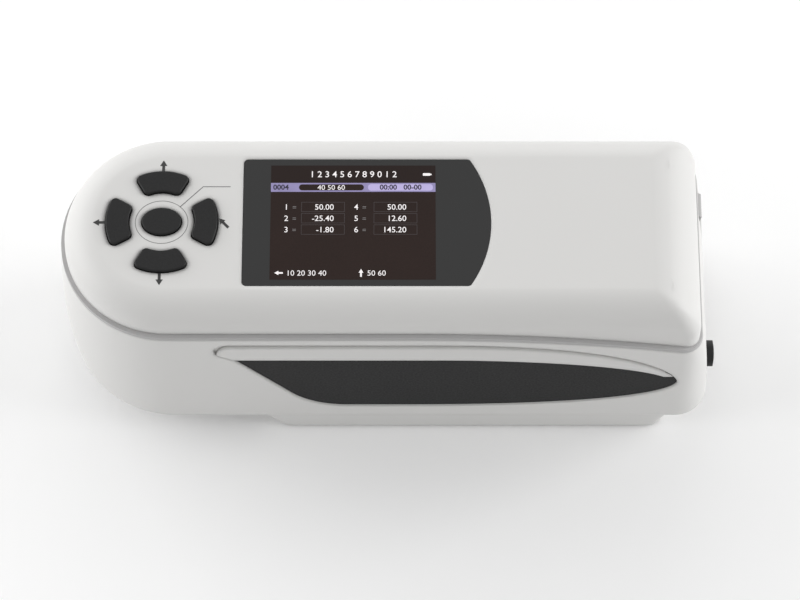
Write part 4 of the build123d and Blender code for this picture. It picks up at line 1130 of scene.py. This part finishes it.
@dataclass(frozen=True)
class Softbox:
    """One large soft lamp that faces the instrument.

    Attributes:
        name: The lamp's name.
        place: Where it hangs, in metres.
        power: Its power in watts.
        size: Its side in metres.
    """

    name: str
    place: tuple[float, float, float]
    power: float
    size: float = 1.0

    def hang(self, aim: tuple[float, float, float]) -> None:
        """Hang the lamp.

        Args:
            aim: The point it faces.
        """
        clear_selection()
        bpy.ops.object.light_add(type="AREA", location=self.place)
        light = bpy.context.object
        light.name = self.name
        light.data.size = self.size
        light.data.energy = self.power
        facing = Vector(aim) - Vector(self.place)
        light.rotation_euler = facing.to_track_quat("-Z", "Y").to_euler()


@dataclass
class Studio:
    """The floor, the soft light and the camera at the photograph's place."""

    lens: float = 161.0
    sensor: float = 36.0
    nearest: float = 0.01
    farthest: float = 50.0
    camera_place: tuple[float, float, float] = (0.0033, -0.4969, 1.0691)
    camera_tilt: float = 25.5
    floor_size: float = 8.0
    floor_colour: Colour = grey(0.98)
    floor_roughness: float = 0.95
    world_colour: Colour = grey(1.0)
    world_strength: float = 0.5
    seen_strength: float = 1.0
    aim: tuple[float, float, float] = (0.0, 0.0, 0.04)
    lamps: tuple[Softbox, ...] = (
        Softbox("left_softbox", (-1.3, 0.0, 0.55), 9.1),
        Softbox("right_softbox", (1.3, 0.1, 0.55), 12.6),
        Softbox("far_softbox", (0.0, 1.3, 0.6), 3.0),
        Softbox("far_left_softbox", (-1.0, 0.9, 0.6), 6.3),
    )

    def camera(self) -> None:
        """Set the camera."""
        clear_selection()
        tilt = math.radians(self.camera_tilt)
        bpy.ops.object.camera_add(location=self.camera_place, rotation=(tilt, 0.0, 0.0))
        camera = bpy.context.object
        camera.name = "photo_camera"
        camera.data.lens = self.lens
        camera.data.sensor_width = self.sensor
        camera.data.clip_start = self.nearest
        camera.data.clip_end = self.farthest
        bpy.context.scene.camera = camera

    def floor(self) -> None:
        """Lay the pale floor."""
        clear_selection()
        bpy.ops.mesh.primitive_plane_add(size=self.floor_size, location=(0.0, 0.0, 0.0))
        floor = bpy.context.object
        floor.name = "studio_floor"
        paper = Graph("floor_paper")
        paper.fill(paper.shader, {
            "Base Color": self.floor_colour,
            "Roughness": self.floor_roughness,
            "Specular IOR Level": 0.0,
        })
        dress(floor, paper.made)

    def world(self) -> None:
        """Set the even light all round, white where it is seen."""
        world = bpy.data.worlds.new("soft_room")
        bpy.context.scene.world = world
        world.use_nodes = True
        nodes = world.node_tree.nodes
        links = world.node_tree.links
        glow = nodes["Background"]
        glow.inputs["Color"].default_value = self.world_colour
        path = nodes.new("ShaderNodeLightPath")
        seen = path.outputs["Is Camera Ray"]
        for ray in ("Is Glossy Ray", "Is Transmission Ray"):
            either = nodes.new("ShaderNodeMath")
            either.operation = "ADD"
            either.use_clamp = True
            links.new(seen, either.inputs[0])
            links.new(path.outputs[ray], either.inputs[1])
            seen = either.outputs["Value"]
        strength = nodes.new("ShaderNodeMapRange")
        strength.inputs["To Min"].default_value = self.world_strength
        strength.inputs["To Max"].default_value = self.seen_strength
        links.new(seen, strength.inputs["Value"])
        links.new(strength.outputs["Result"], glow.inputs["Strength"])

    def build(self) -> None:
        """Set up the camera, the floor and the light."""
        bpy.context.scene.view_settings.view_transform = "Standard"
        self.camera()
        self.floor()
        self.world()
        for lamp in self.lamps:
            lamp.hang(self.aim)
        LOG.info("studio is set")


def main() -> None:
    """Load the frame, dress it and set the studio."""
    logging.basicConfig(level=logging.INFO, format="%(message)s")
    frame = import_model()
    palette = Palette()
    studio = Studio()
    studio.build()
    dressed = CadDressing(palette).apply(frame["nodes"])
    LOG.info("dressed %d packed nodes", dressed)
    KeypadPrint(palette).build()
    ScreenContent(palette).build()
    FlankPad(palette).build()


if __name__ == "__main__":
    main()
